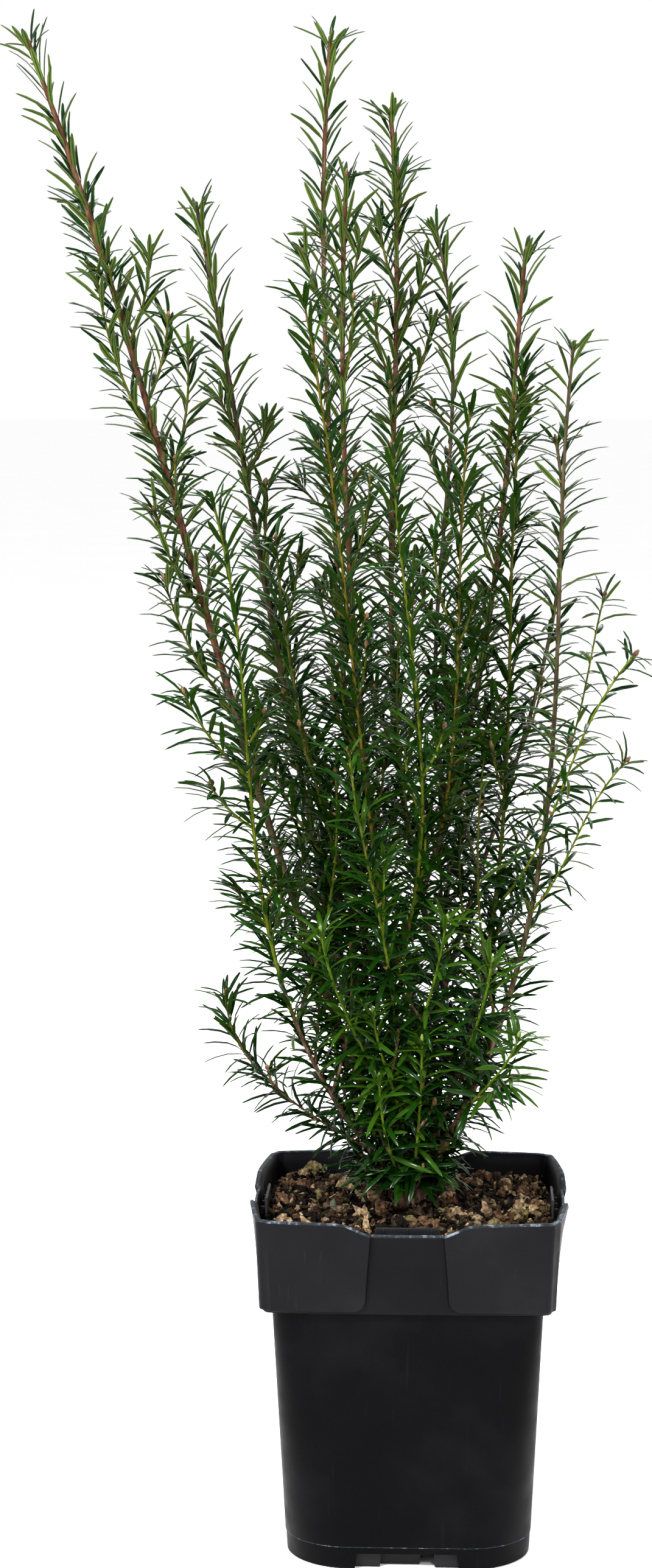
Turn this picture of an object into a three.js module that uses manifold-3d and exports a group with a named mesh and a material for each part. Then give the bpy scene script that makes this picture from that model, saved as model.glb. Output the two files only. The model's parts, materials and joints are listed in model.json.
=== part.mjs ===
// English yew, a young many-stemmed shrub in a square nursery pot.
// Millimetres, +Z up. The origin is the centre of the pot's underside, and the pot's front faces -Y.

import * as THREE from 'three';
import { mergeVertices } from 'three/addons/utils/BufferGeometryUtils.js';
import Module from 'manifold-3d';

const wasm = await Module();
wasm.setup();

// ---------------------------------------------------------------- driving dimensions

const GAP = 0.3; // clearance between pieces that touch

// The pot: a thin tub, square at the rim and rounder at the base.
const POT_HEIGHT = 214;
const RIM_HALF = 88; // half width at the rim's corners
const RIM_BOW = 5.5; // how far a rim's side bulges at its middle
const COLLAR_HEIGHT = 56;
const COLLAR_FOOT = POT_HEIGHT - COLLAR_HEIGHT;
const COLLAR_FOOT_HALF = 86.4;
const COLLAR_FOOT_BOW = 1;
const PANEL_FOOT_BOW = 1.3;
const COLLAR_FLOOR = 2; // the shelf inside the collar's foot
const RECESS_DEPTH = 2.4; // the middle of each collar side is set back
const RECESS_HALF = 21.5;
const RECESS_SLOPE = 1; // half the width of the slope at its edge
const PANEL_FOOT = 3.2; // the raised panels slope in this far above the collar's foot
const DIP_DEPTH = 6.5; // the rim is lower over each recess
const DIP_HALF = 38;
const BODY_TOP_HALF = 79.5;
const BODY_FOOT_HALF = 73.6;
const SKIRT_HEIGHT = 14;
const SKIRT_HALF = 72.6; // the skirt below the floor steps in a little
const SKIRT_DRAFT = 0.6;
const WALL = 1.8;
const FLOOR_TOP = 12;
const FLOOR_THICK = 3;
const RIM_CORNER = 9.5;
const BODY_TOP_CORNER = 11;
const FOOT_CORNER = 40;
const CENTRE_FOOT_RADIUS = 16;
const NOTCH_WIDTH = 13;
const NOTCH_HEIGHT = 8.5;
const NOTCH_SPACING = 24;
const NOTCH_DEPTH = 12;
const NOTCH_BELOW = 0.5; // the ground
const DRAIN_RADIUS = 6;
const DRAIN_OFFSET = 40;
const TAB_WIDTH = 43;
const TAB_THICK = 1.5;
const TAB_SETBACK = 5; // from the rim's inner face to the tab
const TAB_ABOVE_DIP = 4.6;
const TAB_DEPTH = 11;
const TAB_RIB_SPACING = 14;
const TAB_RIB_THICK = 1.2;
const TAB_RIB_DEPTH = 6.9; // from inside the wall into the tab
const TAB_RIB_SUNK = 0.8; // so far into the wall

// The potting mix.
const SOIL_LEVEL = 205; // at the plant's foot
const SOIL_EDGE_DROP = 2;
const SOIL_HALF = 82.4; // just inside the label tabs
const SOIL_MIDDLE_HALF = 50;
const SOIL_BUMP = 2.2; // halved along the edge
const SOIL_FLAT_RADIUS = 20;
const SOIL_SEED = 11;

// The short trunk that every stem rises from.
const TRUNK_HEIGHT = 30;
const TRUNK_SIDES = 12;
// Radius and rise above its foot: a root flare, then a true taper to the stems' crotch.
const TRUNK_PROFILE = [[15, 0], [11.7, 2.4], [9.75, 7], [8.4, 15], [8.06, 24], [5.88, 29]];

// Shoots and needles.
const TIP_RADIUS = 1.3;
const TWIG_RADIUS = 2.4; // a twig with the close feet of its needles
const CORE_RADIUS = 3.6; // the same on a leader's stem
const CORE_START = 30; // above its foot
const CORE_TAPER = 1.5;
const MASS_SUNK = 3; // a mass starts this far inside its limb and is cut back to it
const SIDE_BARE = 5; // the stretch without needles at a side shoot's foot
const MASS_BARE = 6; // and at the foot of a mass that carries on a limb
const YOUNG_BARE = 12; // and at the foot of one that starts on its parent's side
const SIDE_BEND = 60; // between the bends of a side shoot
const TWIG_SIDES = 3;
const LIMB_SIDES = 6;
const LIMB_STEP = 36;
const LIMB_GAP = 0.39; // round a limb's corners, for GAP at its flats
const STEM_STEP = 115; // between the bends of a mass's stem
const BUD_LENGTH = 14;
const NEEDLE_LENGTH = 30;
const NEEDLE_WIDTH = 9;
const NEEDLE_THICK = 2;
const NEEDLE_WIDEST = 0.3; // as a part of its length
const NEEDLE_SUNK = 0.4;
const NEEDLE_PITCH = 19.4;
const NEEDLE_SWAY = 0.9; // radians that a needle may turn from the middle of its twig's side
const NEEDLE_OPENING = [58, 40]; // degrees from its twig, at the twig's foot and end
const NEEDLE_OPENING_SWAY = 8;
const NEEDLE_SIZES = [0.9, 1.1];
const NEEDLE_SAMPLES = [0.3, 0.5, 0.7, 0.85, 1]; // places along it that must be clear
const OWN_SPACE = 1.1; // margin that a mass keeps to its neighbours
const NEEDLE_TRIES = [1, 0.72, 0.5]; // lengths tried where there is little room
const NEEDLE_CLEAR = 3; // from one needle to the next in a mass
const NEEDLE_ABOVE_SOIL = 1.5;
const TWIG_CLEAR = 1; // from a needle to the twigs that it doesn't grow on
const SIDE_CLEAR = 2; // from a side shoot to the stems of other masses
const SIDE_SAMPLES = [0.25, 0.5, 0.75, 1]; // places along it that must be clear

// The leaders. Each leaves its parent at the height `from` and ends at `tip`; `lean` is its
// sideways slope, x against z, at its foot and at its tip. Up to the height `bare` it is a limb
// of its own, and above it a mass of foliage. A side shoot is [height, length, tilt, heading],
// in millimetres and degrees, with heading 0 to the right and 90 to the back.
const LEADERS = [
  { name: 'left_outer', parent: 'trunk', from: 222, foot: [-5, -1], tip: [-221, -25, 890],
    lean: [-0.45, -0.38], radius: 2.9, bare: 400,
    sides: [[501, 91, 28, 200], [558, 71, 26, 190], [618, 36, 23, 266], [639, 75, 9, 350],
      [655, 110, 20, 200], [683, 53, 17, 330], [718, 53, 15, 340], [719, 44, 22, 237],
      [763, 51, 40, 120]] },
  { name: 'left_front', parent: 'trunk', from: 214, foot: [-4, -5], tip: [-112, -85, 632],
    lean: [-0.86, -0.28], radius: 2.5, bare: 330,
    sides: [[382, 28, 41, 200], [395, 20, 47, 300], [440, 41, 48, 220], [470, 62, 37, 190],
      [489, 22, 28, 340]] },
  { name: 'middle', parent: 'trunk', from: 230, foot: [-1, 0], tip: [-16, 0, 372],
    lean: [-0.22, -0.15], radius: 3, bare: 372, sides: [] },
  { name: 'right_middle', parent: 'trunk', from: 222, foot: [5, -1], tip: [65, -15, 700],
    lean: [0.46, 0.11], radius: 2.9, bare: 400, sides: [[452, 40, 35, 250], [520, 38, 30, 70]] },
  { name: 'right_outer', parent: 'trunk', from: 215, foot: [5, -5], tip: [93, -40, 717],
    lean: [0.63, 0.11], radius: 2.8, bare: 400, sides: [[455, 42, 35, 300]] },
  { name: 'right_back', parent: 'trunk', from: 220, foot: [4, 5], tip: [86, 75, 661],
    lean: [0, -0.19], radius: 2.6, bare: 400, sides: [[470, 52, 35, 60]] },
  { name: 'left_back', parent: 'trunk', from: 218, foot: [-4, 5], tip: [-131, 60, 800],
    lean: [-0.34, -0.2], radius: 2.7, bare: 400,
    sides: [[460, 55, 35, 150], [520, 48, 32, 100], [581, 56, 15, 282], [637, 25, 35, 258],
      [638, 34, 22, 340], [667, 21, 30, 200]] },
  { name: 'right_tall', parent: 'middle', from: 346, tip: [66, 15, 771],
    lean: [0.46, 0.09], radius: 2.4, bare: 455,
    sides: [[485, 31, 29, 210], [584, 35, 15, 200], [596, 22, 41, 340]] },
  { name: 'left_inner', parent: 'middle', from: 322, tip: [-78, -40, 606],
    lean: [-0.38, -0.06], radius: 1.9, sides: [[406, 79, 32, 190], [470, 35, 35, 250]] },
  { name: 'centre_front_tall', parent: 'middle', from: 357, tip: [-61, -60, 743],
    lean: [-0.14, -0.19], radius: 1.9, sides: [[546, 20, 38, 320], [559, 23, 39, 200]] },
  { name: 'centre_tall', parent: 'middle', from: 368, tip: [-39, 10, 816],
    lean: [-0.13, 0.05], radius: 2.1,
    sides: [[691, 56, 16, 295], [725, 51, 27, 190], [741, 42, 13, 350], [767, 23, 42, 200]] },
  { name: 'centre_back_tall', parent: 'left_back', from: 320, tip: [-51, 75, 900],
    lean: [0.01, 0.08], radius: 2.1, sides: [[520, 60, 32, 120], [600, 45, 30, 60]] },
  { name: 'centre_back', parent: 'right_back', from: 330, tip: [-15, 85, 857],
    lean: [-0.34, -0.09], radius: 2.1,
    sides: [[659, 37, 23, 262], [674, 63, 23, 340], [691, 52, 14, 190], [722, 52, 21, 350],
      [753, 38, 16, 200], [780, 43, 19, 274]] },
  { name: 'centre_front', parent: 'middle', from: 338, tip: [-10, -95, 660],
    lean: [0.37, -0.05], radius: 1.8, sides: [[470, 40, 40, 300]] },
  { name: 'right_back_tall', parent: 'right_tall', from: 440, tip: [13, 60, 786],
    lean: [-0.22, -0.26], radius: 1.7, sides: [[629, 29, 25, 200], [669, 20, 50, 220]] },
  { name: 'right_inner', parent: 'right_tall', from: 425, tip: [34, -50, 681],
    lean: [0.19, 0.12], radius: 1.7, sides: [[545, 30, 35, 300]] },
  { name: 'right_back_low', parent: 'right_back', from: 380, tip: [117, 80, 566],
    lean: [1.12, 0.25], radius: 1.6, sides: [] },
  { name: 'right_front_low', parent: 'right_middle', from: 385, tip: [128, -80, 543],
    lean: [0.81, 0.84], radius: 1.6, sides: [] },
  { name: 'right_low', parent: 'right_outer', from: 385, tip: [125, -60, 480],
    lean: [0.77, 0.92], radius: 1.5, sides: [] },
  { name: 'front_young_tall', parent: 'middle', from: 300, tip: [-34, -96, 489],
    lean: [0.05, -0.1], radius: 1.5, sides: [[378, 44, 6, 280]] },
  { name: 'front_young_left', parent: 'middle', from: 262, tip: [-51, -70, 381],
    lean: [-0.5, -0.15], radius: 1.5, sides: [] },
  { name: 'front_young_right', parent: 'middle', from: 281, tip: [22, -62, 388],
    lean: [0.45, 0.15], radius: 1.5, sides: [] },
  { name: 'front_young_low', parent: 'middle', from: 246, tip: [-21, -52, 331],
    lean: [0, -0.05], radius: 1.5, sides: [] },
  { name: 'right_young', parent: 'right_middle', from: 290, tip: [48, -62, 363],
    lean: [0.3, 0.1], radius: 1.5, sides: [] },
  { name: 'right_young_low', parent: 'right_outer', from: 262, tip: [64, -58, 318],
    lean: [0.6, 0.2], radius: 1.5, sides: [[275, 30, 60, 320]] },
  { name: 'left_low', parent: 'left_front', from: 240, tip: [-106, -66, 343],
    lean: [-1.5, 0.03], radius: 1.5, sides: [[285, 22, 50, 260]] },
  { name: 'left_young', parent: 'left_outer', from: 300, tip: [-88, 10, 420],
    lean: [-0.5, -0.3], radius: 1.5, sides: [[350, 42, 45, 140]] },
  { name: 'back_middle', parent: 'left_back', from: 300, tip: [-28, 122, 540],
    lean: [0.2, -0.05], radius: 1.8, sides: [[400, 45, 40, 100], [450, 40, 35, 40]] },
  { name: 'back_left', parent: 'left_back', from: 340, tip: [-92, 112, 590],
    lean: [-0.2, -0.1], radius: 1.8, sides: [[430, 45, 40, 160], [490, 40, 35, 90]] },
  { name: 'back_right', parent: 'right_back', from: 300, tip: [38, 118, 556],
    lean: [0.1, 0.05], radius: 1.8, sides: [[400, 48, 40, 60], [460, 40, 35, 120]] },
  { name: 'back_right_low', parent: 'right_back', from: 250, tip: [74, 92, 400],
    lean: [0.5, 0.2], radius: 1.6, sides: [[320, 36, 45, 60]] },
  { name: 'back_left_low', parent: 'left_back', from: 250, tip: [-68, 86, 410],
    lean: [-0.4, -0.2], radius: 1.6, sides: [[320, 36, 45, 130]] },
  { name: 'back_low', parent: 'left_back', from: 236, tip: [2, 78, 340],
    lean: [0.1, 0.05], radius: 1.6, sides: [[285, 34, 50, 60]] },
];

// Short shoots round the plant's foot, turned aside where they'd touch.
const FOOT_SHOOTS = 7;
const FOOT_SHOOT_FROM = 210;
const FOOT_SHOOT_RISE = [70, 115];
const FOOT_SHOOT_REACH = [34, 52];
const TRUNK_FOOT_OFFSET = 4;
const SHORT_SHOOT_SEED = 5;
const YOUNG_RADIUS = 1.6;
const TURN_STEP = 11;
const TURN_TRIES = 12;
const CLEAR_FROM = 9; // above a shoot's foot
const CLEAR_STEP = 6;
const CLEAR_DISTANCE = 6.5;

const DEPTH_LEAN_FOOT = 1.9; // depthwise slope at the foot, against its average
const DEPTH_LEAN_TIP = 0.2;
const SIDE_OPENING = 14; // a side shoot leaves this many degrees wider than its tilt
const SEEDED_SPACING = 150; // between the seeded twigs along the lower part of a mass
const SEEDED_FROM = 12; // above the mass's foot
const SEEDED_TOP = 0.62; // as a part of its height
const SEEDED_LENGTH = [26, 52];
const SEEDED_TILT = [38, 50];

// ---------------------------------------------------------------- helpers

const COLOURS = {
  plastic: 0x242428,
  mix: 0x3a2a20,
  bark: 0x6b4a3a,
  green: 0x2f5a2c,
  young: 0x7fa53a,
};

// A seeded generator of numbers from 0 to 1.
function random(seed) {
  let state = seed >>> 0;
  return () => {
    state = (state + 0x6d2b79f5) >>> 0;
    let mixed = Math.imul(state ^ (state >>> 15), 1 | state);
    mixed = (mixed + Math.imul(mixed ^ (mixed >>> 7), 61 | mixed)) ^ mixed;
    return ((mixed ^ (mixed >>> 14)) >>> 0) / 4294967296;
  };
}

// The solid inside a closed mesh, whichever way its faces point.
function solid(geometry) {
  const bare = geometry.clone();
  bare.deleteAttribute('normal');
  bare.deleteAttribute('uv');
  const merged = mergeVertices(bare, 1e-5);
  const positions = new Float32Array(merged.attributes.position.array);
  const corners = Array.from(merged.index.array);
  const faces = [];
  for (let i = 0; i < corners.length; i += 3) {
    const [a, b, c] = corners.slice(i, i + 3);
    if (a !== b && b !== c && c !== a) faces.push(a, b, c);
  }
  const build = (indices) => new wasm.Manifold(
    new wasm.Mesh({ numProp: 3, vertProperties: positions, triVerts: new Uint32Array(indices) }));
  const made = build(faces);
  if (made.volume() > 0) return made;
  const flipped = [];
  for (let i = 0; i < faces.length; i += 3) flipped.push(faces[i], faces[i + 2], faces[i + 1]);
  return build(flipped);
}

// The largest body of a solid, with sealed hollows filled and loose scraps dropped.
function mainBody(body) {
  const pieces = body.decompose();
  return pieces.reduce((best, piece) => (piece.volume() > best.volume() ? piece : best));
}

function geometryOf(body) {
  const mesh = body.getMesh();
  const geometry = new THREE.BufferGeometry();
  const positions = new Float32Array(mesh.numVert * 3);
  for (let v = 0; v < mesh.numVert; v += 1) {
    for (let axis = 0; axis < 3; axis += 1) {
      positions[v * 3 + axis] = mesh.vertProperties[v * mesh.numProp + axis];
    }
  }
  geometry.setAttribute('position', new THREE.BufferAttribute(positions, 3));
  geometry.setIndex(Array.from(mesh.triVerts));
  geometry.computeVertexNormals();
  return geometry;
}

function piece(name, body, colour, roughness) {
  const material = new THREE.MeshStandardMaterial({ color: colour, roughness, metalness: 0 });
  const mesh = new THREE.Mesh(geometryOf(body), material);
  mesh.name = name;
  return mesh;
}

const lerp = THREE.MathUtils.lerp;
const smooth = (x) => THREE.MathUtils.smoothstep(x, 0, 1);

// ---------------------------------------------------------------- pot

const RING_STOPS = [-DIP_HALF, -RECESS_HALF - RECESS_SLOPE, -RECESS_HALF + RECESS_SLOPE, 0,
  RECESS_HALF - RECESS_SLOPE, RECESS_HALF + RECESS_SLOPE, DIP_HALF];
const STOPS_END = DIP_HALF + 6; // a side shorter than this squeezes its stops
const CORNER_STEPS = 3;
const RING_COLUMNS = 4 * (RING_STOPS.length + 1 + CORNER_STEPS);

// Points round a square with rounded corners, with where each lies along its side.
function squareRing({ half, corner, bow = 0 }) {
  const points = [];
  const end = half - corner;
  const squeeze = Math.min(1, end / STOPS_END);
  for (let side = 0; side < 4; side += 1) {
    const turn = side * Math.PI / 2;
    const add = (along, out) => points.push({
      x: out * Math.sin(turn) + along * Math.cos(turn),
      y: -out * Math.cos(turn) + along * Math.sin(turn),
      outX: Math.sin(turn),
      outY: -Math.cos(turn),
      along,
    });
    [-end, ...RING_STOPS.map((stop) => stop * squeeze)].forEach((along) => {
      add(along, half + bow * (1 - (along / end) ** 2));
    });
    for (let step = 0; step < CORNER_STEPS; step += 1) {
      const angle = (step / CORNER_STEPS) * Math.PI / 2;
      add(end + corner * Math.sin(angle), end + corner * Math.cos(angle));
    }
  }
  return points;
}

// A closed body of revolution whose rings are then squared.
function squaredLathe(rings, columns, place) {
  const profile = rings.map((ring) => new THREE.Vector2(ring.axis ? 0 : 1, ring.z));
  const geometry = new THREE.LatheGeometry(profile, columns);
  const position = geometry.attributes.position;
  for (let v = 0; v < position.count; v += 1) {
    const ring = rings[v % rings.length];
    const column = Math.floor(v / rings.length) % columns;
    const point = place(ring, column);
    position.setXYZ(v, point[0], point[1], point[2]);
  }
  return geometry;
}

function potShell() {
  const skirtFoot = SKIRT_HALF - SKIRT_DRAFT;
  const collarFoot = { corner: RIM_CORNER, bow: COLLAR_FOOT_BOW };
  const rim = { corner: RIM_CORNER, z: POT_HEIGHT, bow: RIM_BOW, rim: true };
  const rings = [
    { axis: true, z: FLOOR_TOP },
    { half: SKIRT_HALF - WALL, corner: FOOT_CORNER - WALL, z: FLOOR_TOP },
    { half: BODY_TOP_HALF - WALL, corner: BODY_TOP_CORNER - WALL, z: COLLAR_FOOT - 1 },
    { ...collarFoot, half: COLLAR_FOOT_HALF - RECESS_DEPTH - WALL, z: COLLAR_FOOT + COLLAR_FLOOR },
    { ...rim, half: RIM_HALF - RECESS_DEPTH - WALL },
    { ...rim, half: RIM_HALF, recessed: true },
    { half: COLLAR_FOOT_HALF, corner: RIM_CORNER, z: COLLAR_FOOT + PANEL_FOOT,
      bow: PANEL_FOOT_BOW, recessed: true },
    { ...collarFoot, half: COLLAR_FOOT_HALF - RECESS_DEPTH, z: COLLAR_FOOT },
    { half: BODY_TOP_HALF, corner: BODY_TOP_CORNER, z: COLLAR_FOOT - 0.2 },
    { half: BODY_FOOT_HALF, corner: FOOT_CORNER - 2, z: SKIRT_HEIGHT },
    { half: skirtFoot, corner: FOOT_CORNER, z: 0 },
    { half: skirtFoot - WALL, corner: FOOT_CORNER - WALL, z: 0 },
    { half: skirtFoot - WALL, corner: FOOT_CORNER - WALL, z: FLOOR_TOP - FLOOR_THICK },
    { axis: true, z: FLOOR_TOP - FLOOR_THICK },
  ];
  const placed = rings.map((ring) => (ring.axis ? null : squareRing(ring)));
  const geometry = squaredLathe(rings, RING_COLUMNS, (ring, column) => {
    if (ring.axis) return [0, 0, ring.z];
    const point = placed[rings.indexOf(ring)][column];
    const across = Math.abs(point.along);
    const back = ring.recessed && across < RECESS_HALF ? RECESS_DEPTH : 0;
    const dip = ring.rim ? DIP_DEPTH * smooth((DIP_HALF - across) / (DIP_HALF - RECESS_HALF)) : 0;
    return [point.x - back * point.outX, point.y - back * point.outY, ring.z - dip];
  });
  return solid(geometry);
}

function box(width, depth, height, x, y, z) {
  return new THREE.BoxGeometry(width, depth, height).translate(x, y, z);
}

// The slot for a plant label inside each rim: a tab held off the wall by three ribs.
function labelTab(turn) {
  const wallFace = RIM_HALF - RECESS_DEPTH - WALL + RIM_BOW;
  const top = POT_HEIGHT - DIP_DEPTH + TAB_ABOVE_DIP;
  const plateFace = wallFace - TAB_SETBACK - TAB_THICK / 2;
  const parts = [box(TAB_WIDTH, TAB_THICK, TAB_DEPTH, 0, -plateFace, top - TAB_DEPTH / 2)];
  const ribTop = POT_HEIGHT - DIP_DEPTH - 1;
  const ribFoot = top - TAB_DEPTH;
  [-1, 0, 1].forEach((place) => {
    parts.push(box(TAB_RIB_THICK, TAB_RIB_DEPTH, ribTop - ribFoot, place * TAB_RIB_SPACING,
      -wallFace + TAB_RIB_DEPTH / 2 - TAB_RIB_SUNK, (ribTop + ribFoot) / 2));
  });
  return parts.map((part) => solid(part.rotateZ(turn)));
}

// Openings in the skirt, cut from a little below the ground.
function notches(turn) {
  return [-1, 0, 1].map((place) => solid(
    box(NOTCH_WIDTH, NOTCH_DEPTH, NOTCH_HEIGHT, place * NOTCH_SPACING, -SKIRT_HALF,
      NOTCH_HEIGHT / 2 - NOTCH_BELOW).rotateZ(turn)));
}

function pot() {
  const turns = [0, 1, 2, 3].map((side) => side * Math.PI / 2);
  const footHeight = FLOOR_TOP - 1;
  const centreFoot = new THREE.CylinderGeometry(CENTRE_FOOT_RADIUS, CENTRE_FOOT_RADIUS, footHeight, 12);
  centreFoot.rotateX(Math.PI / 2).translate(0, 0, footHeight / 2);
  const drains = turns.map((turn) => {
    const hole = new THREE.CylinderGeometry(DRAIN_RADIUS, DRAIN_RADIUS, FLOOR_TOP * 2, 8);
    return solid(hole.rotateX(Math.PI / 2).translate(DRAIN_OFFSET, 0, FLOOR_TOP).rotateZ(turn));
  });
  const added = [potShell(), solid(centreFoot), ...turns.flatMap(labelTab)];
  const cut = [...turns.flatMap(notches), ...drains];
  return wasm.Manifold.union(added).subtract(wasm.Manifold.union(cut));
}

// ---------------------------------------------------------------- potting mix

// Fills the pot. `bump` is how far a ring's points may lie above or below its height.
function soil() {
  const draw = random(SOIL_SEED);
  const inside = WALL + 2 * GAP;
  const rings = [
    { axis: true, z: SOIL_LEVEL },
    { half: SOIL_FLAT_RADIUS, corner: SOIL_FLAT_RADIUS * 0.9, z: SOIL_LEVEL, bump: 0 },
    { half: SOIL_MIDDLE_HALF, corner: RIM_CORNER, z: SOIL_LEVEL, bump: SOIL_BUMP },
    { half: SOIL_HALF, corner: RIM_CORNER, z: SOIL_LEVEL - SOIL_EDGE_DROP, bump: SOIL_BUMP / 2 },
    { half: COLLAR_FOOT_HALF - RECESS_DEPTH - inside, corner: RIM_CORNER,
      z: COLLAR_FOOT + COLLAR_FLOOR + 1, bump: 0 },
    { half: BODY_TOP_HALF - inside, corner: BODY_TOP_CORNER, z: COLLAR_FOOT - GAP, bump: 0 },
    { half: SKIRT_HALF - inside, corner: FOOT_CORNER, z: FLOOR_TOP + GAP, bump: 0 },
    { axis: true, z: FLOOR_TOP + GAP },
  ];
  const placed = rings.map((ring) => {
    if (ring.axis) return null;
    return squareRing(ring).map(({ x, y }) => [x, y, ring.z + ring.bump * (2 * draw() - 1)]);
  });
  const geometry = squaredLathe(rings, RING_COLUMNS, (ring, column) => (
    ring.axis ? [0, 0, ring.z] : placed[rings.indexOf(ring)][column]));
  return solid(geometry);
}

// ---------------------------------------------------------------- trunk and limbs

// The trunk, or with `grow` the space round it that the stems are cut back from.
function trunk(grow = 0) {
  const foot = SOIL_LEVEL + GAP;
  const profile = [
    new THREE.Vector2(0, foot - grow),
    ...TRUNK_PROFILE.map(([radius, rise], index) => {
      const raised = index === TRUNK_PROFILE.length - 1 ? grow : 0;
      const lowered = index === 0 ? grow : 0;
      return new THREE.Vector2(radius + grow, foot + rise + raised - lowered);
    }),
    new THREE.Vector2(0, foot + TRUNK_HEIGHT + grow),
  ];
  return solid(new THREE.LatheGeometry(profile, TRUNK_SIDES).rotateX(Math.PI / 2));
}

// A tapering limb: a closed cylinder whose rings are set along a line of points.
function limb(points, radii, sides, roll = 0) {
  const geometry = new THREE.CylinderGeometry(1, 1, 1, sides, points.length - 1, false);
  geometry.rotateY(roll);
  const position = geometry.attributes.position;
  const tangents = points.map((point, index) => {
    const before = points[Math.max(0, index - 1)];
    const after = points[Math.min(points.length - 1, index + 1)];
    return after.clone().sub(before).normalize();
  });
  const placed = new THREE.Vector3();
  for (let v = 0; v < position.count; v += 1) {
    const ring = Math.round((position.getY(v) + 0.5) * (points.length - 1));
    const across = new THREE.Vector3(0, 1, 0).cross(tangents[ring]).normalize();
    const front = tangents[ring].clone().cross(across);
    placed.copy(points[ring])
      .addScaledVector(across, position.getX(v) * radii[ring])
      .addScaledVector(front, position.getZ(v) * radii[ring]);
    position.setXYZ(v, placed.x, placed.y, placed.z);
  }
  return solid(geometry);
}

// A leader's centre line: its foot, then sideways and depthwise cubics of its height.
class Leader {
  constructor(row, foot) {
    Object.assign(this, row);
    this.rise = row.tip[2] - row.from;
    const depthLean = (row.tip[1] - foot.y) / this.rise;
    const third = this.rise / 3;
    this.curve = new THREE.CubicBezierCurve3(
      foot,
      new THREE.Vector3(foot.x + row.lean[0] * third,
        foot.y + DEPTH_LEAN_FOOT * depthLean * third, row.from + third),
      new THREE.Vector3(row.tip[0] - row.lean[1] * third,
        row.tip[1] - DEPTH_LEAN_TIP * depthLean * third, row.tip[2] - third),
      new THREE.Vector3(...row.tip),
    );
  }

  at(height) {
    return this.curve.getPoint((height - this.from) / this.rise);
  }

  radiusAt(height) {
    return lerp(this.radius, TIP_RADIUS, (height - this.from) / this.rise);
  }

  // Points and radii between two heights, about `step` apart.
  stretch(low, high, step) {
    const count = Math.max(1, Math.round((high - low) / step));
    const heights = Array.from({ length: count + 1 }, (_, i) => lerp(low, high, i / count));
    return {
      points: heights.map((height) => this.at(height)),
      radii: heights.map((height) => this.radiusAt(height)),
    };
  }
}

// Whether a shoot keeps its distance to every leader at each height it passes.
function isClear(shoot, leaders) {
  for (let height = shoot.from + CLEAR_FROM; height < shoot.tip[2]; height += CLEAR_STEP) {
    const point = shoot.at(height);
    for (const leader of leaders.values()) {
      if (height > leader.from && height < leader.tip[2]) {
        const other = leader.at(height);
        if (Math.hypot(point.x - other.x, point.y - other.y) < CLEAR_DISTANCE) return false;
      }
    }
  }
  return true;
}

function growLeaders() {
  const leaders = new Map();
  const add = (row) => {
    const foot = row.foot
      ? new THREE.Vector3(row.foot[0], row.foot[1], row.from)
      : leaders.get(row.parent).at(row.from);
    leaders.set(row.name, new Leader(row, foot));
  };
  LEADERS.forEach(add);
  const draw = random(SHORT_SHOOT_SEED);
  const between = ([low, high]) => lerp(low, high, draw());
  // Turns a short shoot aside until it clears what has grown, or leaves it out.
  const addShort = (name, reach, rise, heading) => {
    for (let attempt = 0; attempt < TURN_TRIES; attempt += 1) {
      const turn = THREE.MathUtils.degToRad(heading + TURN_STEP * attempt);
      const out = [Math.cos(turn), Math.sin(turn)];
      const foot = out.map((part) => TRUNK_FOOT_OFFSET * part);
      const tip = [reach * out[0], reach * out[1], FOOT_SHOOT_FROM + rise];
      const lean = [DEPTH_LEAN_FOOT * (tip[0] - foot[0]) / rise, 0];
      const row = {
        name, parent: 'trunk', from: FOOT_SHOOT_FROM, foot, tip, lean, radius: YOUNG_RADIUS, sides: [],
      };
      const shoot = new Leader(row, new THREE.Vector3(...foot, FOOT_SHOOT_FROM));
      if (isClear(shoot, leaders)) {
        leaders.set(name, shoot);
        return;
      }
    }
  };
  for (let index = 0; index < FOOT_SHOOTS; index += 1) {
    const reach = between(FOOT_SHOOT_REACH);
    const rise = between(FOOT_SHOOT_RISE);
    addShort(`foot_${index + 1}`, reach, rise, 360 * index / FOOT_SHOOTS);
  }
  return leaders;
}

// The end bud of a shoot, with its needles closed round it, is one long point.
function withBud({ points, radii, bareFoot }) {
  const along = points.at(-1).clone().sub(points.at(-2)).normalize();
  const bud = points.at(-1).clone().addScaledVector(along, BUD_LENGTH);
  return { points: [...points, bud], radii: [...radii, 0], bareFoot };
}

// A side shoot bends up from a wide start to an upright end.
function sideShoot(leader, [height, length, tilt, heading]) {
  const start = leader.at(height);
  const turn = THREE.MathUtils.degToRad(heading);
  const out = new THREE.Vector3(Math.cos(turn), Math.sin(turn), 0);
  const toward = (degrees) => {
    const angle = THREE.MathUtils.degToRad(degrees);
    return out.clone().multiplyScalar(Math.sin(angle)).setZ(Math.cos(angle));
  };
  const middle = start.clone().addScaledVector(toward(tilt + SIDE_OPENING), length / 2);
  const end = start.clone().addScaledVector(toward(tilt), length);
  const curve = new THREE.QuadraticBezierCurve3(start, middle, end);
  const points = curve.getPoints(Math.ceil(length / SIDE_BEND));
  const radii = points.map((_, i) => lerp(TWIG_RADIUS, TIP_RADIUS, i / (points.length - 1)));
  return withBud({ points, radii, bareFoot: SIDE_BARE });
}

function segmentsOf(shoot) {
  const segments = [];
  for (let i = 0; i + 1 < shoot.points.length; i += 1) {
    segments.push({
      line: new THREE.Line3(shoot.points[i], shoot.points[i + 1]),
      radius: Math.max(shoot.radii[i], shoot.radii[i + 1]),
    });
  }
  return segments;
}

const nearest = new THREE.Vector3();

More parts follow.
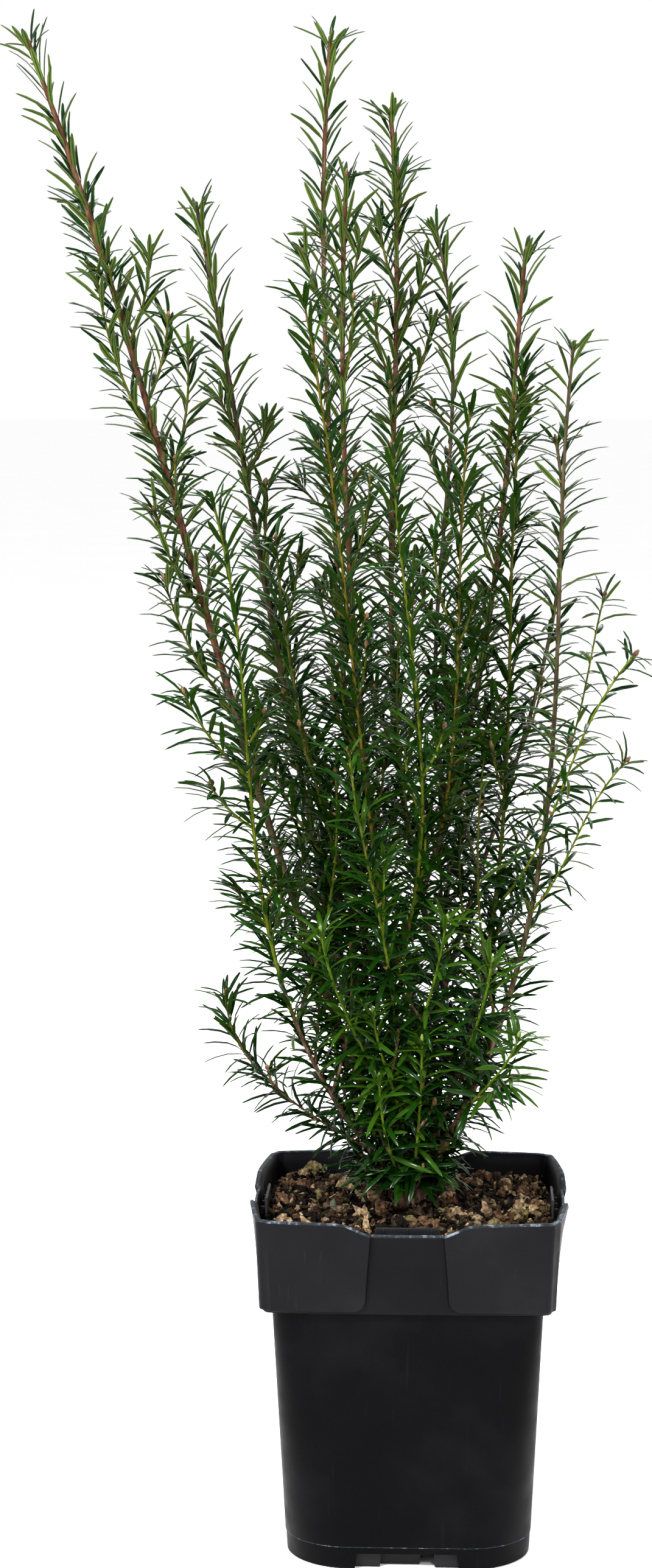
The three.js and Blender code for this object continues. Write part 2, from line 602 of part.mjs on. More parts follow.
function distanceTo(segments, point, withRadius) {
  let best = Infinity;
  segments.forEach(({ line, radius }) => {
    line.closestPointToPoint(point, true, nearest);
    best = Math.min(best, nearest.distanceTo(point) - (withRadius ? radius : 0));
  });
  return best;
}

function seedOf(name) {
  return Array.from(name).reduce((sum, letter) => (sum * 31 + letter.charCodeAt(0)) >>> 0, 7);
}

// ---------------------------------------------------------------- foliage

// A flat needle with a keel below: its root and tip, and three corners where it is widest.
const needleShape = (() => {
  const shape = new THREE.CylinderGeometry(1, 1, 1, 3, 2, true);
  const position = shape.attributes.position;
  for (let v = 0; v < position.count; v += 1) {
    const end = position.getY(v);
    if (Math.abs(end) < 0.1) position.setY(v, NEEDLE_WIDEST);
    else position.setXYZ(v, 0, end > 0 ? 1 : 0, 0);
  }
  return shape;
})();

function needleAt({ root, direction, across, size }, part) {
  const length = NEEDLE_LENGTH * size * part;
  const up = direction.clone().cross(across).normalize();
  const start = root.clone().addScaledVector(direction, -NEEDLE_SUNK);
  const matrix = new THREE.Matrix4().makeBasis(
    across.clone().multiplyScalar(NEEDLE_WIDTH / 2),
    direction.clone().multiplyScalar(length),
    up.multiplyScalar(NEEDLE_THICK / 2),
  ).setPosition(start);
  const reach = NEEDLE_SAMPLES.map(
    (place) => start.clone().addScaledVector(direction, place * length));
  const line = new THREE.Line3(start, reach.at(-1));
  const edges = [-1, 1].map((edge) => start.clone()
    .addScaledVector(direction, NEEDLE_WIDEST * length)
    .addScaledVector(across, edge * NEEDLE_WIDTH / 2));
  return { matrix, line, samples: [...reach, ...edges] };
}

// Where needles grow, in a spiral up a shoot.
function needlePlaces(shoot, draw) {
  const places = [];
  const path = new THREE.CurvePath();
  shoot.points.slice(1).forEach((point, i) => path.add(new THREE.LineCurve3(shoot.points[i], point)));
  const length = path.getLength();
  const leafy = length - shoot.bareFoot;
  const count = Math.max(2, Math.round(leafy / NEEDLE_PITCH));
  shoot.roll = draw() * Math.PI * 2;
  for (let i = 0; i < count; i += 1) {
    const place = (shoot.bareFoot + (leafy - BUD_LENGTH) * ((i + 0.5) / count)) / length;
    const root = path.getPointAt(place);
    const along = path.getTangentAt(place);
    const across = new THREE.Vector3(0, 1, 0).cross(along).normalize();
    const front = along.clone().cross(across);
    const turn = shoot.roll + (i + 0.5) * 2 * Math.PI / TWIG_SIDES + NEEDLE_SWAY * (draw() - 0.5);
    const radial = across.clone().multiplyScalar(Math.sin(turn))
      .addScaledVector(front, Math.cos(turn));
    const open = THREE.MathUtils.degToRad(
      lerp(...NEEDLE_OPENING, place) + NEEDLE_OPENING_SWAY * (draw() - 0.5));
    const direction = along.clone().multiplyScalar(Math.cos(open))
      .addScaledVector(radial, Math.sin(open)).normalize();
    const flat = along.clone().cross(radial).normalize();
    places.push({ root, direction, across: flat, size: lerp(...NEEDLE_SIZES, draw()) });
  }
  return places;
}

// The needles and twigs round one leader, fused on its stem.
class Mass {
  constructor(leader, parentLimb) {
    this.leader = leader;
    this.parentLimb = parentLimb;
    this.draw = random(seedOf(leader.name));
    const low = leader.bare ? leader.bare - MASS_SUNK : leader.from;
    const foot = leader.stretch(low, low + CORE_START, CORE_START);
    const stem = leader.stretch(low + CORE_START, leader.tip[2], STEM_STEP);
    const last = stem.points.length - 1;
    stem.radii = stem.points.map((_, i) => lerp(CORE_RADIUS, TIP_RADIUS, (i / last) ** CORE_TAPER));
    this.shoots = [withBud({
      points: [foot.points[0], ...stem.points],
      radii: [foot.radii[0], ...stem.radii],
      bareFoot: leader.bare ? MASS_BARE : YOUNG_BARE,
    })];
    this.low = low;
  }

  get segments() {
    return this.shoots.flatMap(segmentsOf);
  }

  // Adds a side shoot unless it would meet a limb or another mass's twigs.
  addSide(row, others) {
    const shoot = sideShoot(this.leader, row);
    const clear = SIDE_SAMPLES.every((place) => {
      const point = shoot.points[0].clone().lerp(shoot.points.at(-1), place);
      return others.every((other) => (
        distanceTo(other.segments, point, true) > TWIG_RADIUS + SIDE_CLEAR));
    });
    if (clear) this.shoots.push(shoot);
    return clear;
  }

  addSeededTwigs(others) {
    const high = lerp(this.low, this.leader.tip[2], SEEDED_TOP);
    const count = Math.floor((high - this.low) / SEEDED_SPACING);
    for (let i = 0; i < count; i += 1) {
      const height = lerp(this.low + SEEDED_FROM, high, (i + this.draw()) / count);
      const length = lerp(...SEEDED_LENGTH, this.draw());
      const heading = 360 * this.draw();
      this.addSide([height, length, lerp(...SEEDED_TILT, this.draw()), heading], others);
    }
  }

  body(masses, limbs) {
    const own = this.segments;
    const others = masses.filter((mass) => mass !== this).flatMap((mass) => mass.segments);
    const limbSegments = limbs.flatMap(({ segments }) => segments);
    const grown = [];
    const fits = ({ samples }, shoot) => samples.every((point) => (
      point.z > SOIL_LEVEL + SOIL_BUMP + NEEDLE_ABOVE_SOIL
      && distanceTo(limbSegments, point, true) > TWIG_CLEAR
      && distanceTo(others, point, true) > distanceTo(own, point, true) + OWN_SPACE
      && distanceTo(grown, point, false) > NEEDLE_CLEAR
      && this.shoots.every((other) => other === shoot
        || distanceTo(segmentsOf(other), point, true) > TWIG_CLEAR)));
    const needles = [];
    this.shoots.forEach((shoot) => {
      needlePlaces(shoot, this.draw).forEach((place) => {
        const needle = NEEDLE_TRIES.map((part) => needleAt(place, part))
          .find((tried) => fits(tried, shoot));
        if (!needle) return;
        needles.push(needle);
        grown.push({ line: needle.line, radius: 0 });
      });
    });
    const parts = [
      ...this.shoots.map(({ points, radii, roll }) => limb(points, radii, TWIG_SIDES, roll)),
      ...needles.map(({ matrix }) => solid(needleShape.clone().applyMatrix4(matrix))),
    ];
    return mainBody(wasm.Manifold.union(parts).subtract(this.parentLimb.grown));
  }
}

// ---------------------------------------------------------------- assembly

const plant = new THREE.Group();
plant.add(piece('pot', pot(), COLOURS.plastic, 0.6));
plant.add(piece('potting_mix', soil(), COLOURS.mix, 0.95));
plant.add(piece('trunk', trunk(), COLOURS.bark, 0.85));

const leaders = growLeaders();
const limbs = [];
const limbOf = new Map([['trunk', { grown: trunk(GAP) }]]);
leaders.forEach((leader) => {
  if (!leader.bare) return;
  const { points, radii } = leader.stretch(leader.from, leader.bare, LIMB_STEP);
  const grownPoints = points.map((point) => point.clone());
  const ending = points.at(-1).clone().sub(points.at(-2)).normalize();
  grownPoints.at(-1).addScaledVector(ending, GAP);
  const grown = limb(grownPoints, radii.map((radius) => radius + LIMB_GAP), LIMB_SIDES);
  const body = mainBody(
    limb(points, radii, LIMB_SIDES).subtract(limbOf.get(leader.parent).grown));
  const made = { grown, body, segments: segmentsOf({ points, radii }) };
  limbOf.set(leader.name, made);
  limbs.push(made);
  const kind = leader.parent === 'trunk' ? 'stem' : 'bough';
  plant.add(piece(`${kind}_${leader.name}`, body, COLOURS.bark, 0.85));
});

const masses = [];
leaders.forEach((leader) => {
  if (leader.bare === leader.tip[2]) return;
  masses.push(new Mass(leader, limbOf.get(leader.bare ? leader.name : leader.parent)));
});
masses.forEach((mass) => {
  const others = [...limbs, ...masses.filter((other) => other !== mass)];
  mass.leader.sides.forEach((row) => mass.addSide(row, others));
});
masses.forEach((mass) => {
  mass.addSeededTwigs([...limbs, ...masses.filter((other) => other !== mass)]);
});
masses.forEach((mass) => {
  const young = /young|foot/.test(mass.leader.name);
  const colour = young ? COLOURS.young : COLOURS.green;
  plant.add(piece(`foliage_${mass.leader.name}`, mass.body(masses, limbs), colour, 0.5));
});

export default plant;
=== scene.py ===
"""Looks of a young English yew in a square nursery pot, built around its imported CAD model.

Everything is worked out in millimetres, with +Z up and the pot's front facing -Y, and is turned
into metres where a mesh is made.
"""

import json
import math
from dataclasses import dataclass

import bmesh
import bpy
import numpy as np
from mathutils import Euler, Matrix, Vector, noise
from mathutils.kdtree import KDTree

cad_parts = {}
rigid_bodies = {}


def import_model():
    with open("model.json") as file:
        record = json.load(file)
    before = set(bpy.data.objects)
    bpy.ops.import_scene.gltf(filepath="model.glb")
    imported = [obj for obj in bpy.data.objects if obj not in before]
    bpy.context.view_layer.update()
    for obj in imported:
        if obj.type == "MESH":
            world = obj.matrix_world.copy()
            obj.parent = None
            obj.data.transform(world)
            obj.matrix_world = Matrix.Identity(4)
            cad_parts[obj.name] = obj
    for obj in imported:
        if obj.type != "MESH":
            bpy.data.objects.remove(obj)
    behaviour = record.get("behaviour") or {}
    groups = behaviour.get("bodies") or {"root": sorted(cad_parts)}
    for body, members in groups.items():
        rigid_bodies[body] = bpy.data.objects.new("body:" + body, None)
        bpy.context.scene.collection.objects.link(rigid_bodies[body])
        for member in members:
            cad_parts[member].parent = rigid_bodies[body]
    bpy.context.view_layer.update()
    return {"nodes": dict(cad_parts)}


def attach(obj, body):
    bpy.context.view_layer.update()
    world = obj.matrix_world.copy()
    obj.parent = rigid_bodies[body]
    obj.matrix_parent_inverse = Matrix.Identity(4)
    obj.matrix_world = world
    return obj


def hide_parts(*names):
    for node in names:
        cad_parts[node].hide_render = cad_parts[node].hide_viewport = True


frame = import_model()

MM = 0.001

# ------------------------------------------------------------------ the pot
# It is the part's own but for a few millimetres in the bow and lip of its rim and in its skirt.

POT_HEIGHT = 214
RIM_HALF = 88.8
RIM_BOW = 6.8
RIM_CORNER = 4.8
COLLAR_HEIGHT = 56
COLLAR_FOOT_HALF = 86.4
COLLAR_FOOT = POT_HEIGHT - COLLAR_HEIGHT
RECESS_DEPTH = 2.4
RECESS_HALF_TOP = 21  # the recess widens a little towards its foot
RECESS_HALF_FOOT = 24.5
PANEL_CORNER = 7
PANEL_FOOT = 1.4
DIP_DEPTH = 6.5
DIP_HALF = 40
DIP_FLAT_HALF = 19
BODY_TOP_HALF = 79.5
BODY_TOP_CORNER = 11
BODY_FOOT_HALF = 73.6
FOOT_CORNER = 40
SKIRT_HEIGHT = 14
SKIRT_HALF = 73.2
WALL = 1.8
FLOOR_TOP = 12
FLOOR_THICK = 3
CENTRE_FOOT_RADIUS = 16
WINDOW_HALF = 32  # the opening in the skirt under each side
WINDOW_HEIGHT = 9.5
WINDOW_TAPER = 2.5
CUT_DEPTH = 8  # of the shapes that cut the windows and the drain holes
DRAIN_RADIUS = 6
DRAIN_OFFSET = 40
TAB_WIDTH = 42
TAB_THICK = 1.5
TAB_SETBACK = 5
TAB_ABOVE_DIP = 2.6
TAB_DEPTH = 11
TAB_RIB_SPACING = 14
TAB_RIB_THICK = 1.1
TAB_RIB_REACH = 3.8
TAB_RIB_DROP = 6  # a rib stands out by its full reach from so far below the top
SHALLOW_RIB_REACH = 1.2  # and by so much above that
SHALLOW_RIB_HEIGHT = 5.5
SHALLOW_RIB_DROP = 3.4  # to the middle of the shallow stretch
TAB_TAPER = 3
FOOT_DEPTH = 2
FOOT_CLEARANCE = 1.5  # between a foot and the top of the floor
FEET = [(-23.5, 15, 6), (-4.5, 24, 11), (24, 15, 6)]  # place, width and setback under each side

SOIL_LEVEL = 205
SOIL_EDGE_DROP = 1.5
GAP = 0.3

# ------------------------------------------------------------------ the plant, by the part's rule

TRUNK_HEIGHT = 30
TRUNK_RADIUS = 8.4
LEADER_GIRTH = 0.8  # how slim a leader soon is above its start, to what it would be
TIP_RADIUS = 1.15
TWIG_RADIUS = 1.35

DEPTH_LEAN_FOOT = 1.9
DEPTH_LEAN_TIP = 0.2
SIDE_OPENING = 14  # how many degrees a side shoot leaves its stem wider than it ends
SEEDED_TOP = 0.62  # the part of a leader below which the source's own twigs grow
SEEDED_SPACING = 150
SEEDED_LENGTH = (26, 52)
SEEDED_TILT = (38, 50)

FOOT_SHOOTS = 7
FOOT_SHOOT_FROM = 210
FOOT_SHOOT_RISE = (70, 115)
FOOT_SHOOT_REACH = (34, 52)
TRUNK_FOOT_OFFSET = 4
YOUNG_RADIUS = 1.6
TURN_STEP = 11  # a short shoot that would touch another is turned by so many degrees
TURN_TRIES = 12
CLEAR_FROM = 9
CLEAR_STEP = 6
CLEAR_DISTANCE = 6.5
SHORT_SHOOT_SEED = 5

# ------------------------------------------------------------------ what the source leaves out

FLARE_RADIUS = 11  # the trunk's foot spreads to this, and less far than the part's
FLARE_FALL = 4.2
TRUNK_SUNK = 6  # the foot goes on so far below the mix
TRUNK_RINGS = 28
RIDGES = 4  # round a stem, twisting slowly up it
RIDGE_DEPTH = 0.07
RIDGE_TWIST = 9
RELIEF = 0.035  # of young bark, as a part of the stem's radius
OLD_RELIEF = 0.05  # and what old bark has more
LINE_STEP = 3  # between the points of a shoot's centre line
BARE_FOOT = 8  # the length of a leader's foot that has no needles
LIMB_BARE_FOOT = 14
NEEDLE_LENGTH = 24
NEEDLE_WIDTH = 3.05
PITCH_HEIGHTS = (350, 480, 620, 800)
PITCHES = (2.05, 2.3, 2.6, 2.9)  # from one needle to the next, at those heights
OLD_WOOD_TOP = 330  # below this height a stem's wood is old and brown
RUSSET_FROM = 520  # and a russet stem is grey up to here
TUFT_LENGTH = 12
TUFT_NEEDLES = 6
LENGTH_SPREAD = (0.82, 1.12)  # parts of NEEDLE_LENGTH
WIDTH_SPREAD = (0.88, 1.1)
OPENING_HEIGHTS = (300, 480, 650, 850)
OPENINGS = (52, 45, 41, 34)  # a needle's angle to its stem, at those heights
BENDS = (-0.46, -0.46, -0.36, -0.24)  # and how far its tip bends outwards and down
OPENING_CLOSES = 12  # by so much towards the end of a shoot
OPENING_STRAY = 11
TUFT_OPENING = (10, 74)  # at a shoot's very end
MOST_SAG = 36  # a needle near the mix opens by up to so much more
ROLL_STRAY = 21  # and turns about its own length
STEM_CLEARANCE = 0.5
MIX_CLEARANCE = 4.5
GOLDEN_TURN = 137.5
UPRIGHT_LEAN = 0.3  # up to this, a shoot's sides are found from the pot's depth, not from above
RANKED_FROM = 22  # from this tilt on, a side shoot's needles lie more and more to both sides
RANKED_OVER = 30
MOST_RANKED = 0.7

TWIG_SPACING = 62  # between the finer twigs of a leader's lower part
TWIG_TOP = 0.55
TWIG_LENGTH = (30, 64)
TWIG_TILT = (8, 20)
TWIG_STRAY = 60
TWIG_END_RADIUS = 0.75
TWIG_CLEARANCE = 2.4
SPARSE = 1.2  # a leader whose needles are this sparse has no such twigs
LOW_TWIG_SPACING = 17  # and between those of a limb near the plant's foot
LOW_TWIG_TOP = 330
LOW_TWIG_REACH = 42  # how far from the plant's middle they still grow
LOW_TWIG_LENGTH = (14, 34)
LOW_TWIG_TILT = (18, 44)
FRESH_LOW_SHARE = 0.06
INNER_SHOOTS = 3  # long upright shoots that each limb sends up inside the crown
INNER_LENGTH = (90, 180)
INNER_TILT = (3, 11)
INNER_STRAY = 140
FOOT_SPRAYS = 19  # round the trunk, with needles that hang down to the mix
SPRAY_HEIGHT = (SOIL_LEVEL + 3, SOIL_LEVEL + 15)
SPRAY_LENGTH = (16, 32)
SPRAY_TILT = (26, 60)
SPRAY_RADIUS = 1.2
FRESH_LENGTH = 26  # of a young shoot's end, where its needles are at their brightest
GREEN_WOOD = ("lime", "shoot", "amber", "olive")
GREEN_WOOD_GIRTH = 0.7  # beside the source's stems, which are a little stouter
BUD_SPACING = 64

# ------------------------------------------------------------------ helpers


def stream(seed):
    """The part's own generator of numbers from 0 to 1."""
    mask = 0xFFFFFFFF
    state = seed & mask

    def draw():
        nonlocal state
        state = (state + 0x6D2B79F5) & mask
        mixed = ((state ^ (state >> 15)) * (1 | state)) & mask
        mixed = ((mixed + ((mixed ^ (mixed >> 7)) * (61 | mixed) & mask)) & mask) ^ mixed
        return (mixed ^ (mixed >> 14)) / 4294967296

    return draw


def seed_of(name):
    total = 7
    for letter in name:
        total = (total * 31 + ord(letter)) & 0xFFFFFFFF
    return total


def lerp(low, high, part):
    return low + (high - low) * part


def smooth(part):
    part = np.clip(part, 0, 1)
    return part * part * (3 - 2 * part)


def unit(vectors):
    return vectors / np.linalg.norm(vectors, axis=-1, keepdims=True)


def without(vectors, direction):
    """Unit vectors with their part along `direction` taken out."""
    return unit(vectors - direction * np.sum(vectors * direction, -1, keepdims=True))


def turns(sides):
    return np.linspace(0, 2 * math.pi, sides, endpoint=False)


def around(turn, across, front):
    """Unit offsets at the angles `turn` from `across` towards `front`."""
    return np.cos(turn)[..., None] * across + np.sin(turn)[..., None] * front


def heading_vector(degrees):
    turn = math.radians(degrees)
    return np.array([math.cos(turn), math.sin(turn), 0.0])


class Heap:
    """Faces of one piece, gathered in millimetres, with a material for each."""

    def __init__(self):
        self.points = []
        self.faces = []
        self.kinds = []
        self.count = 0

    def add(self, points, faces, kinds):
        """Adds points (n, 3), faces as an index array or a list of them, and their materials."""
        points = np.asarray(points, float)
        self.points.append(points)
        for corners in faces if isinstance(faces, list) else [faces]:
            self.faces.append(np.asarray(corners) + self.count)
        kinds = kinds if isinstance(kinds, list) else [kinds]
        self.kinds += [np.asarray(kind) for kind in kinds]
        self.count += len(points)

    def build(self, name, materials, sharp_angle=None):
        points = np.concatenate(self.points) * MM
        sizes = np.concatenate([np.full(len(f), f.shape[1]) for f in self.faces])
        corners = np.concatenate([f.ravel() for f in self.faces])
        kinds = np.concatenate([np.broadcast_to(k, len(f)) for k, f in zip(self.kinds, self.faces)])
        mesh = bpy.data.meshes.new(name)
        mesh.vertices.add(len(points))
        mesh.vertices.foreach_set("co", points.astype(np.float32).ravel())
        mesh.loops.add(len(corners))
        mesh.loops.foreach_set("vertex_index", corners.astype(np.int32))
        mesh.polygons.add(len(sizes))
        starts = np.concatenate([[0], np.cumsum(sizes)[:-1]])
        mesh.polygons.foreach_set("loop_start", starts.astype(np.int32))
        mesh.polygons.foreach_set("material_index", kinds.astype(np.int32))
        for material in materials:
            mesh.materials.append(material)
        mesh.update(calc_edges=True)
        mesh.validate()
        mesh.shade_smooth()
        if sharp_angle is not None:
            mesh.set_sharp_from_angle(angle=math.radians(sharp_angle))
        piece = bpy.data.objects.new(name, mesh)
        bpy.context.scene.collection.objects.link(piece)
        return piece


def grid_faces(rows, columns, closed=True):
    """Quads between `rows` rings of `columns` points each."""
    row, column = np.meshgrid(np.arange(rows - 1), np.arange(columns if closed else columns - 1),
                              indexing="ij")
    here = row * columns + column
    beside = row * columns + (column + 1) % columns
    return np.stack([here, beside, beside + columns, here + columns], -1).reshape(-1, 4)


def tip_faces(rings, sides):
    """Triangles from the last of `rings` rings to the one point that follows it."""
    last = (rings - 1) * sides
    here = np.arange(sides)
    return np.stack([last + here, last + (here + 1) % sides, np.full(sides, last + sides)], -1)


# ------------------------------------------------------------------ materials


class Finish:
    """A node material around one Principled shader."""

    def __init__(self, name, roughness, specular=0.5):
        self.material = bpy.data.materials.new(name)
        self.material.use_nodes = True
        self.tree = self.material.node_tree
        self.shader = self.tree.nodes["Principled BSDF"]
        self.feed(self.shader, {"Roughness": roughness, "Specular IOR Level": specular})
        self.place = self.node("ShaderNodeTexCoord").outputs["Object"]

    def feed(self, node, inputs):
        """Sets a node's inputs to constants, or joins them to the outputs of other nodes."""
        for name, value in inputs.items():
            if isinstance(value, bpy.types.NodeSocket):
                self.tree.links.new(value, node.inputs[name])
            else:
                node.inputs[name].default_value = value
        return node

    def node(self, kind, inputs=None):
        return self.feed(self.tree.nodes.new(kind), inputs or {})

    def noise(self, scale, detail=4, stretch=(1, 1, 1), roughness=0.55):
        """Noise whose features are about 1 / scale metres across."""
        mapping = self.node("ShaderNodeMapping", {"Vector": self.place, "Scale": stretch})
        noise = self.node("ShaderNodeTexNoise", {"Vector": mapping.outputs["Vector"], "Scale": scale,
                                                 "Detail": detail, "Roughness": roughness})
        return noise.outputs["Fac"]

    def ramp(self, value, places, colours):
        """Colours for the values at `places`, and blends of them between."""
        ramp = self.node("ShaderNodeValToRGB", {"Fac": value})
        elements = ramp.color_ramp.elements
        while len(elements) < len(places):
            elements.new(0.5)
        for element, place, colour in zip(elements, places, colours):
            element.position = place
            element.color = (*colour, 1)
        return ramp.outputs["Color"]

    def mix(self, value, low, high):
        mix = self.node("ShaderNodeMix")
        mix.data_type = "RGBA"
        self.feed(mix, {"Factor": value, "A": low, "B": high})
        return mix.outputs["Result"]

    def colour(self, value):
        self.feed(self.shader, {"Base Color": value})

    def rough(self, value, low, high):
        spread = self.node("ShaderNodeMapRange", {"Value": value, "From Min": 0.3, "From Max": 0.7,
                                                  "To Min": low, "To Max": high})
        self.feed(self.shader, {"Roughness": spread.outputs["Result"]})

    def bump(self, value, depth, strength=0.6):
        bump = self.node("ShaderNodeBump", {"Height": value, "Strength": strength,
                                            "Distance": depth * MM})
        self.feed(self.shader, {"Normal": bump.outputs["Normal"]})


def needle_finish(name, colour, roughness, specular):
    finish = Finish(name, roughness, specular)
    mottle = finish.noise(240, detail=3)
    shades = [tuple(channel * part for channel in colour) for part in (1 - MOTTLE, 1, 1 + MOTTLE)]
    finish.colour(finish.ramp(mottle, (0.3, 0.5, 0.7), shades))
    finish.rough(mottle, roughness - 0.03, roughness + 0.06)
    finish.bump(finish.noise(900, detail=2), 0.04, 0.2)
    return finish.material


def bark_finish(name, colours, roughness=0.75, depth=0.35):
    finish = Finish(name, roughness, 0.04)
    streaks = finish.noise(420, detail=6, stretch=(1, 1, 0.16))
    finish.colour(finish.ramp(streaks, (0.32, 0.5, 0.68), colours))
    finish.rough(streaks, roughness - 0.08, roughness + 0.12)
    finish.bump(streaks, depth)
    return finish.material


def plastic_finish(name, roughness, specular):
    """Black moulded plastic with cloudy handling marks, upright scratches and a fine grain."""
    colours = PLASTICS[name]
    finish = Finish(name, roughness, specular)
    clouds = finish.ramp(finish.noise(14, detail=5), (0.3, 0.52, 0.75), colours)
    scratches = finish.noise(330, detail=2, stretch=(1, 1, 0.035))
    marked = finish.ramp(scratches, (0.66, 0.78), [(0, 0, 0), (1, 1, 1)])
    palest = tuple(channel * 1.3 for channel in colours[2])
    pale = finish.ramp(finish.noise(30, detail=2), (0.0, 1.0), [colours[1], palest])
    finish.colour(finish.mix(marked, clouds, pale))
    finish.rough(finish.noise(60, detail=6), roughness - 0.07, roughness + 0.1)
    finish.bump(finish.noise(2600, detail=2), 0.12, 0.35)
    return finish.material


def worn_finish():
    """The rim's scuffed edge, where the plastic has gone pale and bluish."""
    finish = Finish("plastic_worn_edge", 0.5, 0.1)
    wear = finish.noise(150, detail=7, roughness=0.7)
    finish.colour(finish.ramp(wear, (0.42, 0.53, 0.7), WORN_COLOURS))
    finish.rough(wear, 0.42, 0.68)
    finish.bump(finish.noise(700, detail=4), 0.3, 0.6)
    return finish.material


def chip_finish(name, colours):
    finish = Finish(name, 0.88, 0.07)
    grain = finish.noise(520, detail=6, stretch=(1, 0.4, 1))
    finish.colour(finish.ramp(grain, (0.3, 0.5, 0.7), colours))
    finish.rough(grain, 0.78, 0.98)
    finish.bump(grain, 0.9, 0.8)
    return finish.material


# A needle's colour, roughness and specular level: five kinds of upper side, three of underside,
# and the rib and the foot that every needle has.
NEEDLE_LOOKS = {
    # top_deep is partly the needles' own darker green and partly painted shade: it is darkened so
    # that shoots inside, at the back and at the foot of the crown look shaded.
    "top_deep": ((0.0013, 0.0095, 0.0006), 0.14, 0.08),
    "top_mid": ((0.0038, 0.021, 0.001), 0.14, 0.15),
    "top_grey": ((0.0038, 0.017, 0.0015), 0.17, 0.08),
    "top_fresh": ((0.014, 0.042, 0.0018), 0.15, 0.13),
    "top_worn": ((0.024, 0.034, 0.005), 0.3, 0.06),
    # under is the underside darkened as painted shade, so that undersides seen inside the crown look
    # dark.
    "under": ((0.008, 0.024, 0.0015), 0.42, 0.01),
    "under_pale": ((0.05, 0.078, 0.015), 0.45, 0.02),
    "under_fresh": ((0.022, 0.058, 0.003), 0.42, 0.02),
    "rib": ((0.008, 0.022, 0.003), 0.38, 0.02),
    "foot": ((0.038, 0.05, 0.007), 0.45, 0.04),
}
NEEDLE_KINDS = {name: index for index, name in enumerate(NEEDLE_LOOKS)}
MOTTLE = 0.12  # how far a needle's colour strays to both sides

# What follows has a dark, a plain and a light colour for each finish.
BARKS = {
    "old": ((0.022, 0.012, 0.008), (0.066, 0.037, 0.024), (0.17, 0.105, 0.07)),
    "russet": ((0.026, 0.01, 0.006), (0.058, 0.024, 0.013), (0.12, 0.06, 0.034)),
    "grey": ((0.016, 0.012, 0.006), (0.036, 0.028, 0.014), (0.078, 0.06, 0.034)),
    "olive": ((0.018, 0.02, 0.002), (0.042, 0.045, 0.005), (0.08, 0.082, 0.014)),
    "amber": ((0.03, 0.022, 0.002), (0.068, 0.052, 0.005), (0.12, 0.096, 0.013)),
    "lime": ((0.02, 0.03, 0.001), (0.05, 0.068, 0.003), (0.09, 0.115, 0.009)),
    "shoot": ((0.02, 0.042, 0.001), (0.048, 0.088, 0.003), (0.09, 0.14, 0.008)),
}
BARK_KINDS = {name: index for index, name in enumerate(BARKS)}
BUD_COLOURS = {
    "bud_brown": ((0.04, 0.02, 0.01), (0.09, 0.05, 0.024), (0.18, 0.11, 0.055)),
    "bud_green": ((0.06, 0.09, 0.02), (0.12, 0.17, 0.035), (0.2, 0.25, 0.06)),
}
PLASTICS = {
    "plastic_black": ((0.0016, 0.0016, 0.002), (0.0026, 0.0026, 0.0032), (0.006, 0.006, 0.007)),
    # The body's colours are painted shade: the body is the same plastic as the collar, but faces a
    # little downwards and gets less light.
    "plastic_black_body": ((0.0005, 0.0005, 0.0007), (0.0009, 0.0009, 0.0012),
                           (0.0028, 0.0028, 0.0034)),
    # The recess's colours are painted shade: the same plastic, darker where the recess lies back from
    # the panels.
    "plastic_black_recess": ((0.0012, 0.0012, 0.0016), (0.002, 0.002, 0.0025),
                             (0.0036, 0.0036, 0.0043)),
    "plastic_black_inside": ((0.0032, 0.0032, 0.0038), (0.0044, 0.0044, 0.0052),
                             (0.007, 0.007, 0.008)),
}
WORN_COLOURS = ((0.004, 0.0045, 0.0055), (0.015, 0.019, 0.025), (0.16, 0.2, 0.24))
CHIP_COLOURS = {
    "chip_dark": ((0.0006, 0.0004, 0.0003), (0.0022, 0.0014, 0.0008), (0.008, 0.005, 0.003)),
    "chip_brown": ((0.005, 0.0027, 0.0015), (0.018, 0.01, 0.0052), (0.05, 0.031, 0.018)),
    "chip_red": ((0.013, 0.006, 0.003), (0.05, 0.026, 0.013), (0.12, 0.07, 0.038)),
    "chip_tan": ((0.045, 0.027, 0.013), (0.15, 0.1, 0.056), (0.32, 0.235, 0.14)),
    "chip_ochre": ((0.025, 0.019, 0.006), (0.075, 0.059, 0.024), (0.16, 0.13, 0.066)),
    "chip_orange": ((0.14, 0.05, 0.015), (0.3, 0.12, 0.035), (0.42, 0.2, 0.07)),
}

# ------------------------------------------------------------------ the plant's skeleton


